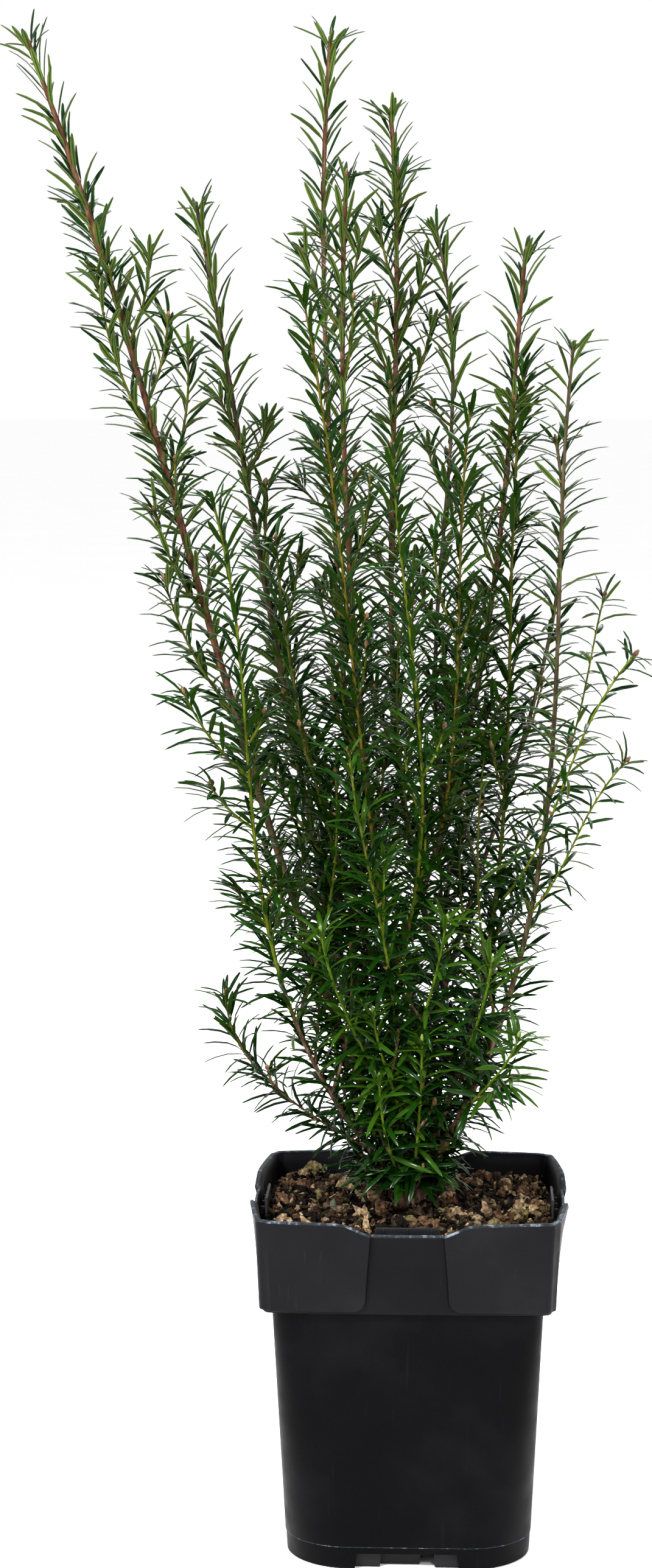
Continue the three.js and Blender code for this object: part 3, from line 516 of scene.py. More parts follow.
@dataclass
class Leader:
    """An upright stem whose place is a cubic of its height, by the part's rule."""

    name: str
    parent: str
    start: float  # the height at which it leaves its parent
    tip: tuple
    lean: tuple  # its sideways slope at foot and tip
    radius: float
    bark: str  # the colour of its young wood
    shade: str  # and that of its needles
    foot: tuple = None  # where it leaves the trunk, seen from above
    bare: float = None  # the height up to which it is a limb of its own
    small: float = 1  # what its needles' size is multiplied by
    sparse: float = 1  # and the spacing between them
    spread: float = 0  # how many degrees wider they open
    slim: float = 1  # what its thickness is multiplied by
    end: float = TIP_RADIUS
    taper: float = 0.9
    sides: tuple = ()  # side shoots: (height, length, tilt, heading), and a shade and bark

    def plant(self, leaders):
        """Works out the curve, once the parent has its own."""
        self.rise = self.tip[2] - self.start
        foot = (*self.foot, self.start) if self.foot else leaders[self.parent].at(self.start)
        third = self.rise / 3
        depth_lean = (self.tip[1] - foot[1]) / self.rise
        self.controls = np.array([
            foot,
            (foot[0] + self.lean[0] * third, foot[1] + DEPTH_LEAN_FOOT * depth_lean * third,
             self.start + third),
            (self.tip[0] - self.lean[1] * third, self.tip[1] - DEPTH_LEAN_TIP * depth_lean * third,
             self.tip[2] - third),
            self.tip,
        ], float)

    def at(self, height):
        t = (np.asarray(height, float)[..., None] - self.start) / self.rise
        weights = [(1 - t) ** 3, 3 * t * (1 - t) ** 2, 3 * t * t * (1 - t), t ** 3]
        return sum(weight * control for weight, control in zip(weights, self.controls))

    def radius_at(self, height):
        part = np.clip((np.asarray(height) - self.start) / self.rise, 0, 1)
        thinning = lerp(1, LEADER_GIRTH, smooth(part * 5))
        return thinning * self.slim * lerp(self.radius, self.end / self.slim, part ** self.taper)


# The source's leaders and long young shoots. A heading is 0 to the right and 90 to the back.
LEADERS = [
    Leader("left_outer", "trunk", 222, (-221, -25, 890), (-0.45, -0.38), 2.9, "russet", "grey",
           foot=(-5, -1), bare=400, end=1.7, taper=2,
           sides=[(501, 91, 28, 200), (558, 71, 26, 190), (618, 36, 23, 266), (639, 75, 9, 350),
                  (655, 110, 20, 200), (683, 53, 17, 330), (718, 53, 15, 340), (719, 44, 22, 237),
                  (763, 51, 40, 120)]),
    Leader("left_front", "trunk", 214, (-112, -85, 632), (-0.86, -0.28), 2.5, "lime", "mid",
           foot=(-4, -5), bare=330,
           sides=[(382, 28, 41, 200), (395, 20, 47, 300), (440, 41, 48, 220), (470, 62, 37, 190),
                  (489, 22, 28, 340)]),
    Leader("middle", "trunk", 230, (-16, 0, 372), (-0.22, -0.15), 3, "russet", "deep", foot=(-1, 0),
           bare=372),
    Leader("right_middle", "trunk", 222, (65, -15, 700), (0.46, 0.11), 2.9, "olive", "deep",
           foot=(5, -1), bare=400, sides=[(452, 40, 35, 250), (520, 38, 30, 70)]),
    Leader("right_outer", "trunk", 215, (93, -40, 717), (0.63, 0.11), 2.8, "grey", "grey",
           foot=(5, -5), bare=400, sparse=1.35, spread=12, slim=0.85, sides=[(455, 42, 35, 300)]),
    Leader("right_back", "trunk", 220, (86, 75, 661), (0, -0.19), 2.6, "grey", "deep", foot=(4, 5),
           bare=400, sparse=1.35, spread=10, slim=0.9, sides=[(470, 52, 35, 60)]),
    Leader("left_back", "trunk", 218, (-131, 60, 800), (-0.34, -0.2), 2.7, "grey", "grey",
           foot=(-4, 5), bare=400, end=1.5, taper=1.5,
           sides=[(460, 55, 35, 150), (520, 48, 32, 100), (581, 56, 15, 282), (637, 25, 35, 258),
                  (638, 34, 22, 340), (667, 21, 30, 200)]),
    Leader("right_tall", "middle", 346, (66, 15, 771), (0.46, 0.09), 2.4, "russet", "grey",
           bare=455, end=1.5, sides=[(485, 31, 29, 210), (584, 35, 15, 200), (596, 22, 41, 340)]),
    Leader("left_inner", "middle", 322, (-78, -40, 606), (-0.38, -0.06), 1.9, "olive", "mid",
           sides=[(406, 79, 32, 190), (470, 35, 35, 250)]),
    Leader("centre_front_tall", "middle", 357, (-61, -60, 743), (-0.14, -0.19), 1.9, "amber", "mid",
           sides=[(546, 20, 38, 320), (559, 23, 39, 200)]),
    Leader("centre_tall", "middle", 368, (-39, 10, 816), (-0.13, 0.05), 2.1, "russet", "grey",
           end=1.7, taper=1.8,
           sides=[(691, 56, 16, 295), (725, 51, 27, 190), (741, 42, 13, 350), (767, 23, 42, 200)]),
    Leader("centre_back_tall", "left_back", 320, (-51, 75, 900), (0.01, 0.08), 2.1, "russet",
           "grey", end=1.6, sides=[(520, 60, 32, 120), (600, 45, 30, 60)]),
    Leader("centre_back", "right_back", 330, (-15, 85, 857), (-0.34, -0.09), 2.1, "russet", "grey",
           end=1.7, taper=1.8,
           sides=[(659, 37, 23, 262), (674, 63, 23, 340), (691, 52, 14, 190), (722, 52, 21, 350),
                  (753, 38, 16, 200), (780, 43, 19, 274)]),
    Leader("centre_front", "middle", 338, (-10, -95, 660), (0.37, -0.05), 1.8, "lime", "mid",
           sides=[(470, 40, 40, 300)]),
    Leader("right_back_tall", "right_tall", 440, (13, 60, 786), (-0.22, -0.26), 1.7, "grey", "grey",
           sides=[(629, 29, 25, 200), (669, 20, 50, 220)]),
    Leader("right_inner", "right_tall", 425, (34, -50, 681), (0.19, 0.12), 1.7, "amber", "mid",
           sides=[(545, 30, 35, 300)]),
    Leader("right_back_low", "right_back", 380, (117, 80, 566), (1.12, 0.25), 1.6, "lime", "grey",
           small=0.84, sparse=1.6, spread=24, slim=0.74, end=0.95),
    Leader("right_front_low", "right_middle", 385, (128, -80, 543), (0.81, 0.84), 1.6, "lime",
           "grey", small=0.8, sparse=1.5, spread=20, slim=0.78, end=1),
    Leader("right_low", "right_outer", 385, (125, -60, 480), (0.77, 0.92), 1.5, "lime", "grey",
           small=0.76, sparse=1.4, spread=14, slim=0.74, end=0.95),
    Leader("front_young_tall", "middle", 300, (-34, -96, 489), (0.05, -0.1), 1.5, "lime", "mid",
           sides=[(378, 44, 6, 280, "fresh", "shoot")]),
    Leader("front_young_left", "middle", 262, (-51, -70, 381), (-0.5, -0.15), 1.5, "shoot",
           "fresh"),
    Leader("front_young_right", "middle", 281, (22, -62, 388), (0.45, 0.15), 1.5, "shoot", "fresh"),
    Leader("front_young_low", "middle", 246, (-21, -52, 331), (0, -0.05), 1.5, "shoot", "fresh"),
    Leader("right_young", "right_middle", 290, (48, -62, 363), (0.3, 0.1), 1.5, "shoot", "fresh"),
    Leader("right_young_low", "right_outer", 262, (64, -58, 318), (0.6, 0.2), 1.5, "shoot", "fresh",
           sides=[(275, 30, 60, 320)]),
    Leader("left_low", "left_front", 240, (-106, -66, 343), (-1.5, 0.03), 1.5, "lime", "deep",
           small=0.84, sparse=0.8, spread=-14, slim=0.8, sides=[(285, 22, 50, 260)]),
    Leader("left_young", "left_outer", 300, (-88, 10, 420), (-0.5, -0.3), 1.5, "olive", "mid",
           sides=[(350, 42, 45, 140)]),
    Leader("back_middle", "left_back", 300, (-28, 122, 540), (0.2, -0.05), 1.8, "olive", "mid",
           sides=[(400, 45, 40, 100), (450, 40, 35, 40)]),
    Leader("back_left", "left_back", 340, (-92, 112, 590), (-0.2, -0.1), 1.8, "lime", "deep",
           sides=[(430, 45, 40, 160), (490, 40, 35, 90)]),
    Leader("back_right", "right_back", 300, (38, 118, 556), (0.1, 0.05), 1.8, "olive", "mid",
           sides=[(400, 48, 40, 60), (460, 40, 35, 120)]),
    Leader("back_right_low", "right_back", 250, (74, 92, 400), (0.5, 0.2), 1.6, "olive", "mid",
           sides=[(320, 36, 45, 60)]),
    Leader("back_left_low", "left_back", 250, (-68, 86, 410), (-0.4, -0.2), 1.6, "olive", "deep",
           sides=[(320, 36, 45, 130)]),
    Leader("back_low", "left_back", 236, (2, 78, 340), (0.1, 0.05), 1.6, "shoot", "fresh",
           sides=[(285, 34, 50, 60)]),
]


def is_clear(shoot, leaders):
    for height in np.arange(shoot.start + CLEAR_FROM, shoot.tip[2], CLEAR_STEP):
        point = shoot.at(height)
        for leader in leaders.values():
            if leader.start < height < leader.tip[2]:
                if np.hypot(*(point - leader.at(height))[:2]) < CLEAR_DISTANCE:
                    return False
    return True


def add_short_shoots(leaders):
    """The part's short shoots round the plant's foot, turned aside where they'd touch."""
    draw = stream(SHORT_SHOOT_SEED)
    for index in range(FOOT_SHOOTS):
        reach = lerp(*FOOT_SHOOT_REACH, draw())
        rise = lerp(*FOOT_SHOOT_RISE, draw())
        for attempt in range(TURN_TRIES):
            out = heading_vector(360 * index / FOOT_SHOOTS + TURN_STEP * attempt)
            foot = TRUNK_FOOT_OFFSET * out[:2]
            tip = (reach * out[0], reach * out[1], FOOT_SHOOT_FROM + rise)
            lean = (DEPTH_LEAN_FOOT * (tip[0] - foot[0]) / rise, 0)
            shoot = Leader(f"foot_{index + 1}", "trunk", FOOT_SHOOT_FROM, tip, lean, YOUNG_RADIUS,
                           "shoot", "fresh", foot=tuple(foot))
            shoot.plant(leaders)
            if is_clear(shoot, leaders):
                leaders[shoot.name] = shoot
                break


def grow_leaders():
    leaders = {}
    for leader in LEADERS:
        leader.plant(leaders)
        leaders[leader.name] = leader
    add_short_shoots(leaders)
    return leaders


class Shoot:
    """A stretch of stem that bears needles: its centre line, thickness and colours.

    `bare_foot` is the length without needles, `rank` is how far the needles lie to both sides,
    and `habit` is the leader that says how the needles are set.
    """

    def __init__(self, mass, points, radii, bark, shade, bare_foot=4, rank=0, limb=False,
                 habit=None):
        self.mass = mass
        self.points = np.asarray(points, float)
        self.radii = np.asarray(radii, float) * (GREEN_WOOD_GIRTH if bark in GREEN_WOOD else 1)
        self.bark = bark
        self.shade = shade
        self.bare_foot = bare_foot
        self.rank = rank
        self.limb = limb
        self.small = habit.small if habit else 1
        self.sparse = habit.sparse if habit else 1
        self.spread = habit.spread if habit else 0
        steps = np.linalg.norm(np.diff(self.points, axis=0), axis=1)
        self.reach = np.concatenate([[0], np.cumsum(steps)])
        self.along = unit(np.gradient(self.points, axis=0))

    def frame_at(self, place):
        """Centre, direction, sideways and upper directions, and radius at places along it."""
        def read(values):
            return np.stack([np.interp(place, self.reach, column) for column in values.T], -1)

        along = unit(read(self.along))
        average = unit(self.points[-1] - self.points[0])
        upright = np.hypot(average[0], average[1]) <= UPRIGHT_LEAN
        sideways = unit(np.cross([0, 1.0, 0] if upright else [0, 0, 1.0], along))
        upper = np.cross(along, sideways)
        return read(self.points), along, sideways, upper, np.interp(place, self.reach, self.radii)


def side_line(start, length, tilt, heading):
    """Points of a shoot that leaves wide and bends upright, as in the part."""
    out = heading_vector(heading)

    def leaning(degrees):
        angle = math.radians(degrees)
        return out * math.sin(angle) + np.array([0, 0, math.cos(angle)])

    middle = start + leaning(tilt + SIDE_OPENING) * length / 2
    end = start + leaning(tilt) * length
    t = np.linspace(0, 1, max(6, int(length / LINE_STEP)))[:, None]
    return start * (1 - t) ** 2 + middle * 2 * t * (1 - t) + end * t * t


def leader_shoots(leader):
    """A leader's stem: its limb, if it has one, and its leafy stretch."""
    count = max(8, int(leader.rise / LINE_STEP))
    heights = np.linspace(leader.start, leader.tip[2], count)
    points = leader.at(heights)
    radii = leader.radius_at(heights)
    name = leader.name
    if not leader.bare:
        return [Shoot(name, points, radii, leader.bark, leader.shade, BARE_FOOT, habit=leader)]
    low = heights <= leader.bare + LINE_STEP
    high = heights >= leader.bare - LINE_STEP
    made = [Shoot(name, points[low], radii[low], leader.bark, leader.shade, LIMB_BARE_FOOT,
                  limb=True)]
    if high.sum() > 4:
        made.append(Shoot(name, points[high], radii[high], leader.bark, leader.shade, 0,
                          habit=leader))
    return made


def side_shoot(leader, height, length, tilt, heading, shade=None, bark=None):
    line = side_line(leader.at(height), length, tilt, heading)
    radii = np.linspace(TWIG_RADIUS, TWIG_END_RADIUS, len(line))
    wood = bark or ("lime" if leader.bark in ("lime", "shoot") else "olive")
    rank = float(np.clip((tilt - RANKED_FROM) / RANKED_OVER, 0, MOST_RANKED))
    return Shoot(leader.name, line, radii, wood, shade or leader.shade, rank=rank, habit=leader)


def foot_spray(index, draw):
    """One of the small shoots that stand round the trunk's own foot."""
    out = heading_vector(360 * index / FOOT_SPRAYS)
    start = np.array([0, 0, lerp(*SPRAY_HEIGHT, draw())]) + out * (TRUNK_RADIUS - 1)
    line = side_line(start, lerp(*SPRAY_LENGTH, draw()), lerp(*SPRAY_TILT, draw()),
                     360 * (index + draw()) / FOOT_SPRAYS)
    radii = np.linspace(SPRAY_RADIUS, TWIG_END_RADIUS, len(line))
    # Foot sprays get the deep shade, partly painted shade under the crown.
    return Shoot("foot_1", line, radii, "olive", "deep", 2)


def meets_other(shoot, others):
    """Whether a shoot comes close to stems that it doesn't grow on."""
    points = shoot.points[4:]
    for other in others:
        gaps = np.linalg.norm(points[:, None] - other.points[None], axis=-1)
        if (gaps < TWIG_RADIUS + TWIG_CLEARANCE).any():
            return True
    return False


def spaced(low, high, count, draw):
    """Numbers from 0, each with a height drawn from one of `count` equal stretches."""
    for index in range(count):
        yield index, lerp(low, high, (index + draw()) / count)


def add_seeded_twigs(leader, add):
    """The source's own twigs."""
    draw = stream(seed_of(leader.name))
    low = leader.bare - 3 if leader.bare else leader.start
    high = lerp(low, leader.tip[2], SEEDED_TOP)
    count = int((high - low) // SEEDED_SPACING)
    for _, height in spaced(low + 12, high, count, draw):
        length = lerp(*SEEDED_LENGTH, draw())
        heading = 360 * draw()
        add(leader, height, length, lerp(*SEEDED_TILT, draw()), heading)


def add_finer_twigs(leader, add):
    """Twigs that the source leaves out: up the leader, at its foot, and inside the crown."""
    draw = stream(seed_of(leader.name) + 1)
    low = max(leader.start + 16, LOW_TWIG_TOP)
    high = lerp(leader.start, leader.tip[2], TWIG_TOP)
    for index, height in spaced(low, high, int((high - low) / TWIG_SPACING), draw):
        row = (height, lerp(*TWIG_LENGTH, draw()), lerp(*TWIG_TILT, draw()),
               GOLDEN_TURN * index + TWIG_STRAY * draw())
        if leader.sparse < SPARSE:
            add(leader, *row)

    low = leader.start + 4
    high = min(LOW_TWIG_TOP, leader.tip[2] - 30)
    for index, height in spaced(low, high, int((high - low) / LOW_TWIG_SPACING), draw):
        fresh = draw() < FRESH_LOW_SHARE
        row = (height, lerp(*LOW_TWIG_LENGTH, draw()), lerp(*LOW_TWIG_TILT, draw()),
               GOLDEN_TURN * index + TWIG_STRAY * draw())
        if np.hypot(*leader.at(height)[:2]) < LOW_TWIG_REACH:
            # Low twigs mostly get the deep shade, partly painted shade under the crown.
            add(leader, *row, *(("fresh", "shoot") if fresh else ("deep", "olive")))

    if leader.bare:
        for _, height in spaced(leader.start + 50, leader.bare, INNER_SHOOTS, draw):
            foot = leader.at(height)
            inward = math.degrees(math.atan2(-foot[1], -foot[0]))
            add(leader, height, lerp(*INNER_LENGTH, draw()), lerp(*INNER_TILT, draw()),
                inward + INNER_STRAY * (draw() - 0.5))


def grow_skeleton():
    """The leaders' own stretches of stem, and all shoots that grow from them."""
    leaders = grow_leaders()
    stems = [shoot for leader in leaders.values() for shoot in leader_shoots(leader)]
    shoots = list(stems)

    def add(leader, *row):
        shoot = side_shoot(leader, *row)
        if not meets_other(shoot, [other for other in shoots if other.mass != leader.name]):
            shoots.append(shoot)

    for leader in leaders.values():
        for row in leader.sides:
            add(leader, *row)
    draw = stream(SHORT_SHOOT_SEED + 1)
    shoots += [foot_spray(index, draw) for index in range(FOOT_SPRAYS)]
    masses = [leader for leader in leaders.values() if leader.bare != leader.tip[2]]
    for leader in masses:
        if leader.sparse < SPARSE:
            add_seeded_twigs(leader, add)
    for leader in masses:
        add_finer_twigs(leader, add)
    return stems, shoots[len(stems):]


# ------------------------------------------------------------------ stems


def add_tube(heap, shoot, rng):
    """A stem with the ridges that run down from its needles' feet."""
    sides = 12 if shoot.limb else 9
    points, radii = shoot.points, shoot.radii
    centre, along, sideways, upper, _ = shoot.frame_at(shoot.reach)
    turn = turns(sides)
    old = smooth((OLD_WOOD_TOP + 30 - points[:, 2]) / 60)[:, None]
    phase = rng.uniform(0, 2 * math.pi)
    ridges = RIDGE_DEPTH * np.cos(RIDGES * turn[None] + phase + shoot.reach[:, None] / RIDGE_TWIST)
    rough = rng.normal(0, 1, (len(points), sides))
    rough = (rough + np.roll(rough, 1, 0)) / 2
    radius = radii[:, None] * (1 + ridges * (1 - 0.4 * old) + rough * (RELIEF + OLD_RELIEF * old))
    ring = centre[:, None] + radius[..., None] * around(turn, sideways[:, None], upper[:, None])
    tip = centre[-1] + along[-1] * radii[-1]
    height = points[:-1, 2] + rng.uniform(-22, 22, len(points) - 1)
    young = "grey" if shoot.bark == "russet" else shoot.bark
    kind = np.where(height < RUSSET_FROM, BARK_KINDS[young], BARK_KINDS[shoot.bark])
    kind = np.where(height < OLD_WOOD_TOP, BARK_KINDS["old"], kind)
    if shoot.bark == "shoot":
        kind[:] = BARK_KINDS["shoot"]
    heap.add(np.vstack([ring.reshape(-1, 3), tip]),
             [grid_faces(len(points), sides), tip_faces(len(points), sides)],
             [np.repeat(kind, sides), np.full(sides, kind[-1])])


def add_trunk(heap, rng):
    """The short trunk, flared at its foot and lumpy where the stems leave it."""
    sides = 30
    heights = np.linspace(-TRUNK_SUNK, TRUNK_HEIGHT, TRUNK_RINGS)
    part = heights / TRUNK_HEIGHT
    flare = (FLARE_RADIUS - TRUNK_RADIUS) * np.exp(-(heights + TRUNK_SUNK) / FLARE_FALL)
    crown = 1 - 0.35 * smooth((part - 0.82) / 0.18)
    turn = turns(sides)
    lobes = 1 + 0.07 * np.cos(3 * turn + 1) + 0.05 * np.cos(7 * turn + 2)
    rough = 1 + 0.035 * rng.normal(0, 1, (len(heights), sides))
    radius = (TRUNK_RADIUS * crown + flare)[:, None] * lobes[None] * rough
    foot = SOIL_LEVEL + GAP
    ring = np.stack([radius * np.cos(turn), radius * np.sin(turn),
                     np.repeat(foot + heights[:, None], sides, 1)], -1)
    top = np.array([[0, 0, foot + TRUNK_HEIGHT + 1]])
    heap.add(np.vstack([ring.reshape(-1, 3), top]),
             [grid_faces(len(heights), sides), tip_faces(len(heights), sides)],
             [BARK_KINDS["old"], BARK_KINDS["old"]])


BUD_PROFILE = [(0.0, 0.55), (0.28, 1.0), (0.3, 0.82), (0.55, 0.92), (0.58, 0.66), (0.85, 0.5)]


def add_bud(heap, root, direction, length, width, kind):
    """A scaly bud: rings that step in, under a blunt point."""
    sides = 7
    direction = unit(direction)
    across = unit(np.cross([0.3, 0.9, 0.1], direction))
    circle = around(turns(sides), across, np.cross(direction, across))
    rings = [root + direction * length * place + width * wide * circle for place, wide in BUD_PROFILE]
    heap.add(np.vstack([*rings, root + direction * length]),
             [grid_faces(len(rings), sides), tip_faces(len(rings), sides)], [kind, kind])


def add_buds(heap, shoot, rng):
    """Buds in some of a stem's axils, and one on its end."""
    end = shoot.points[-1]
    fresh = shoot.bark == "shoot"
    if not shoot.limb:
        add_bud(heap, end - shoot.along[-1], shoot.along[-1], rng.uniform(3.5, 5),
                rng.uniform(1.3, 1.7), 1 if fresh else 0)
    count = int(shoot.reach[-1] / BUD_SPACING)
    if fresh or count < 1:
        return
    place = np.sort(rng.uniform(6, shoot.reach[-1] - 4, count))
    centre, along, sideways, upper, radius = shoot.frame_at(place)
    radial = around(rng.uniform(0, 2 * math.pi, count), sideways, upper)
    for index in range(count):
        direction = radial[index] + along[index] * rng.uniform(0.5, 1.2)
        root = centre[index] + radial[index] * (radius[index] - 0.4)
        add_bud(heap, root, direction, rng.uniform(2.6, 4), rng.uniform(0.8, 1.15), 0)


# ------------------------------------------------------------------ needles

# The blade's outline as (place along it, part of its half width), and its cross-section as
# (part of the half width, height), with a groove above and a rib below.
BLADE = [(0.0, 0.28), (0.15, 0.84), (0.43, 1.0), (0.73, 0.92), (0.93, 0.55)]
SECTION = [(-1.0, -0.16), (-0.52, 0.28), (0, 0.08), (0.52, 0.28), (1.0, -0.16), (0.2, -0.34),
           (-0.2, -0.34)]
FOOT_DROP = 1.8  # a needle's foot runs this far down its stem
FOOT_WIDTH = 0.24  # beside the blade's
FOOT_THICK = 0.7
BASE_CLEARANCE = 0.55  # a needle's blade starts this far outside its stem
FOOT_SINK = 0.12


class Needles:
    """Needles gathered from many shoots, as arrays of one row a needle."""

    FIELDS = ("base", "foot", "along", "direction", "normal", "length", "width", "lift", "sway")

    def __init__(self):
        self.rows = {field: [] for field in self.FIELDS}
        self.tops = []
        self.unders = []

    def add(self, top, under, **values):
        for field in self.FIELDS:
            self.rows[field].append(np.asarray(values[field], float))
        self.tops.append(top)
        self.unders.append(under)

    def gather(self):
        self.values = {field: np.concatenate(rows) for field, rows in self.rows.items()}
        self.top = np.concatenate(self.tops)
        self.under = np.concatenate(self.unders)

    def keep(self, wanted):
        self.values = {field: rows[wanted] for field, rows in self.values.items()}
        self.top = self.top[wanted]
        self.under = self.under[wanted]

    def bend(self):
        """Each needle's sideways direction, and how far its tip strays for a length of 1."""
        v = self.values
        side = np.cross(v["direction"], v["normal"])
        return side, v["lift"][:, None] * v["normal"] + v["sway"][:, None] * side

    def line(self, part):
        """Points on each needle's middle line at `part` of its length."""
        v = self.values
        _, bend = self.bend()
        return v["base"] + v["length"][:, None] * (v["direction"] * part + bend * part ** 2)

    def add_to(self, heap):
        """Adds a foot on the stem, the blade's rings and the tip of every needle."""
        v = self.values
        side, bend = self.bend()
        half = v["width"] / 2
        rings = [self.ring(v["foot"], v["along"], side, half * FOOT_WIDTH, FOOT_THICK)]
        for place, wide in BLADE:
            tangent = unit(v["direction"] + 2 * place * bend)
            rings.append(self.ring(self.line(place), tangent, side, half * wide, wide ** 0.5))
        points = np.concatenate([*rings, self.line(1.0)[:, None]], axis=1)
        first = (np.arange(len(points)) * points.shape[1])[:, None, None]
        quads = grid_faces(len(rings), len(SECTION)) + first
        tips = tip_faces(len(rings), len(SECTION)) + first
        rib = np.full(len(points), NEEDLE_KINDS["rib"])
        kinds = np.stack([*[self.top] * 4, self.under, rib, self.under], -1)
        blade_kinds = np.repeat(kinds[:, None], len(rings) - 1, axis=1)
        blade_kinds[:, 0] = NEEDLE_KINDS["foot"]
        heap.add(points.reshape(-1, 3), [quads.reshape(-1, 4), tips.reshape(-1, 3)],
                 [blade_kinds.ravel(), kinds.ravel()])

    @staticmethod
    def ring(centre, tangent, side, half, thickness):
        across = without(side, tangent)
        normal = np.cross(across, tangent)
        return np.stack([centre + across * (x * half)[:, None] + normal * (z * thickness)
                         for x, z in SECTION], axis=1)


# How many of a shoot's needles have each kind of upper side.
SHADE_MIX = {
    # The deep shade goes to shoots inside, at the back and at the foot of the crown; its darkness is
    # partly painted shade.
    "deep": (["top_deep", "top_mid", "top_grey"], [0.7, 0.22, 0.08]),
    "mid": (["top_mid", "top_deep", "top_fresh", "top_grey"], [0.6, 0.25, 0.07, 0.08]),
    "grey": (["top_grey", "top_deep", "top_mid", "top_worn"], [0.55, 0.25, 0.15, 0.05]),
    "fresh": (["top_fresh", "top_mid", "top_deep"], [0.25, 0.55, 0.2]),
}
# Shades not listed here get the darkened underside, which is painted shade.
UNDERSIDES = {"fresh": "under_fresh", "grey": "under_pale"}


def grow_needles(store, shoot, rng):
    """Sets needles in a spiral up a shoot, spread flat to both sides where it leans."""
    total = shoot.reach[-1]
    pitch = np.interp(shoot.points[:, 2], PITCH_HEIGHTS, PITCHES) * shoot.sparse
    spots = np.linspace(shoot.bare_foot, total, 60)
    crowd = np.cumsum(1 / np.interp(spots, shoot.reach, pitch)) * (spots[1] - spots[0])
    count = max(3, int(crowd[-1]))
    tuft = 0 if shoot.limb else TUFT_NEEDLES
    steps = (np.arange(count) + rng.uniform(0.1, 0.9, count)) / count
    place = np.interp(steps * crowd[-1], crowd, spots)
    place = np.concatenate([place, total - rng.uniform(0, TUFT_LENGTH * 0.4, tuft)])
    place = np.minimum(place, total - 0.3)
    count += tuft
    centre, along, sideways, upper, radius = shoot.frame_at(place)
    turn = (rng.uniform(0, 2 * math.pi) + math.radians(GOLDEN_TURN) * np.arange(count)
            + rng.normal(0, 0.25, count))
    flat = 1 - shoot.rank
    radial = unit(np.cos(turn)[:, None] * sideways + (flat * np.sin(turn))[:, None] * upper)
    to_tip = np.ones(count) if shoot.limb else smooth((total - place) / TUFT_LENGTH)
    opening = np.interp(centre[:, 2], OPENING_HEIGHTS, OPENINGS) - OPENING_CLOSES * (place / total)
    opening += shoot.spread + rng.normal(0, OPENING_STRAY, count)
    sag = np.clip((OLD_WOOD_TOP - centre[:, 2]) / 120, 0, 1)
    opening = lerp(lerp(*TUFT_OPENING, rng.random(count)),
                   opening + MOST_SAG * sag * rng.random(count), to_tip)
    direction = unit(around(np.radians(opening), along, radial))
    normal = without(lerp(along, upper, shoot.rank), direction)
    roll = rng.normal(0, math.radians(ROLL_STRAY), count)
    normal = around(roll, normal, np.cross(direction, normal))
    young_end = lerp(rng.uniform(0.5, 0.95, count), 1, to_tip) * lerp(0.8, 1, smooth(place / 22))
    length = NEEDLE_LENGTH * rng.uniform(*LENGTH_SPREAD, count) * young_end * shoot.small
    width = NEEDLE_WIDTH * rng.uniform(*WIDTH_SPREAD, count) * lerp(0.85, 1, to_tip) * shoot.small
    base = centre + radial * (radius + BASE_CLEARANCE)[:, None]
    foot = centre + radial * (radius - FOOT_SINK)[:, None] - along * FOOT_DROP
    names, chances = SHADE_MIX[shoot.shade]
    top = rng.choice([NEEDLE_KINDS[name] for name in names], count, p=chances)
    if shoot.shade == "fresh":
        top[total - place < FRESH_LENGTH] = NEEDLE_KINDS["top_fresh"]
    under = UNDERSIDES.get(shoot.shade, "under")
    store.add(top, np.full(count, NEEDLE_KINDS[under]), base=base, foot=foot, along=along,
              direction=direction, normal=normal, length=length, width=width,
              lift=np.interp(centre[:, 2], OPENING_HEIGHTS, BENDS) + rng.normal(0, 0.1, count),
              sway=rng.normal(0, 0.06, count))


def thin_out(store, stems):
    """Drops needles that would pass through a stem or the potting mix."""
    ahead = [store.line(part) for part in (0.3, 0.55, 0.8, 1.0)]
    tree = KDTree(sum(len(stem.points) for stem in stems))
    radii = []
    for stem in stems:
        for point, radius in zip(stem.points, stem.radii):
            tree.insert(point, len(radii))
            radii.append(radius)
    tree.balance()
    keep = np.ones(len(store.top), bool)
    for points in ahead:
        for index in np.nonzero(keep)[0]:
            _, nearest, gap = tree.find(points[index])
            if gap < radii[nearest] + STEM_CLEARANCE:
                keep[index] = False
        keep &= points[:, 2] > SOIL_LEVEL + MIX_CLEARANCE
    store.keep(keep)


# ------------------------------------------------------------------ pot

INNER_STOPS = [0, 0.3, 0.6, 0.85]  # parts of the recess's half width
EDGE_STOPS = [-1, -0.6, -0.35, -0.1, 0.15, 0.4, 0.65, 1, 2.5, 5, 8, 11.5, 15]
OUTER_STOPS = 8
CORNER_STEPS = 9
COLLAR_PARTS = [0.96, 0.92, 0.86, 0.78, 0.69, 0.6, 0.5, 0.4, 0.32, 0.25, 0.2, 0.165, 0.14, 0.12,
                0.1, 0.08, 0.062, 0.046, 0.032, 0.02, 0.01]  # where its rings are, from the rim
INNER_COLLAR_PARTS = [0.03, 0.14, 0.2, 0.32, 0.5, 0.69, 0.86, 0.94]
# The body's and the recess's finishes are darker copies of the plain one, painted shade.
PLAIN, WORN, SHADED_BODY, SHADED_RECESS = range(4)  # the shell's finishes
QUARTERS = [side * math.pi / 2 for side in range(4)]  # the turns of the pot's four sides


def side_stops(end, edge):
    """Places along one side of the pot, close together by the recess's edges at `edge`."""
    edge = min(edge, end - 16)
    half = [edge * stop for stop in INNER_STOPS] + [edge + stop for stop in EDGE_STOPS]
    half += list(np.linspace(half[-1], end, OUTER_STOPS + 1)[1:])
    return np.array([-stop for stop in reversed(half[1:])] + half)


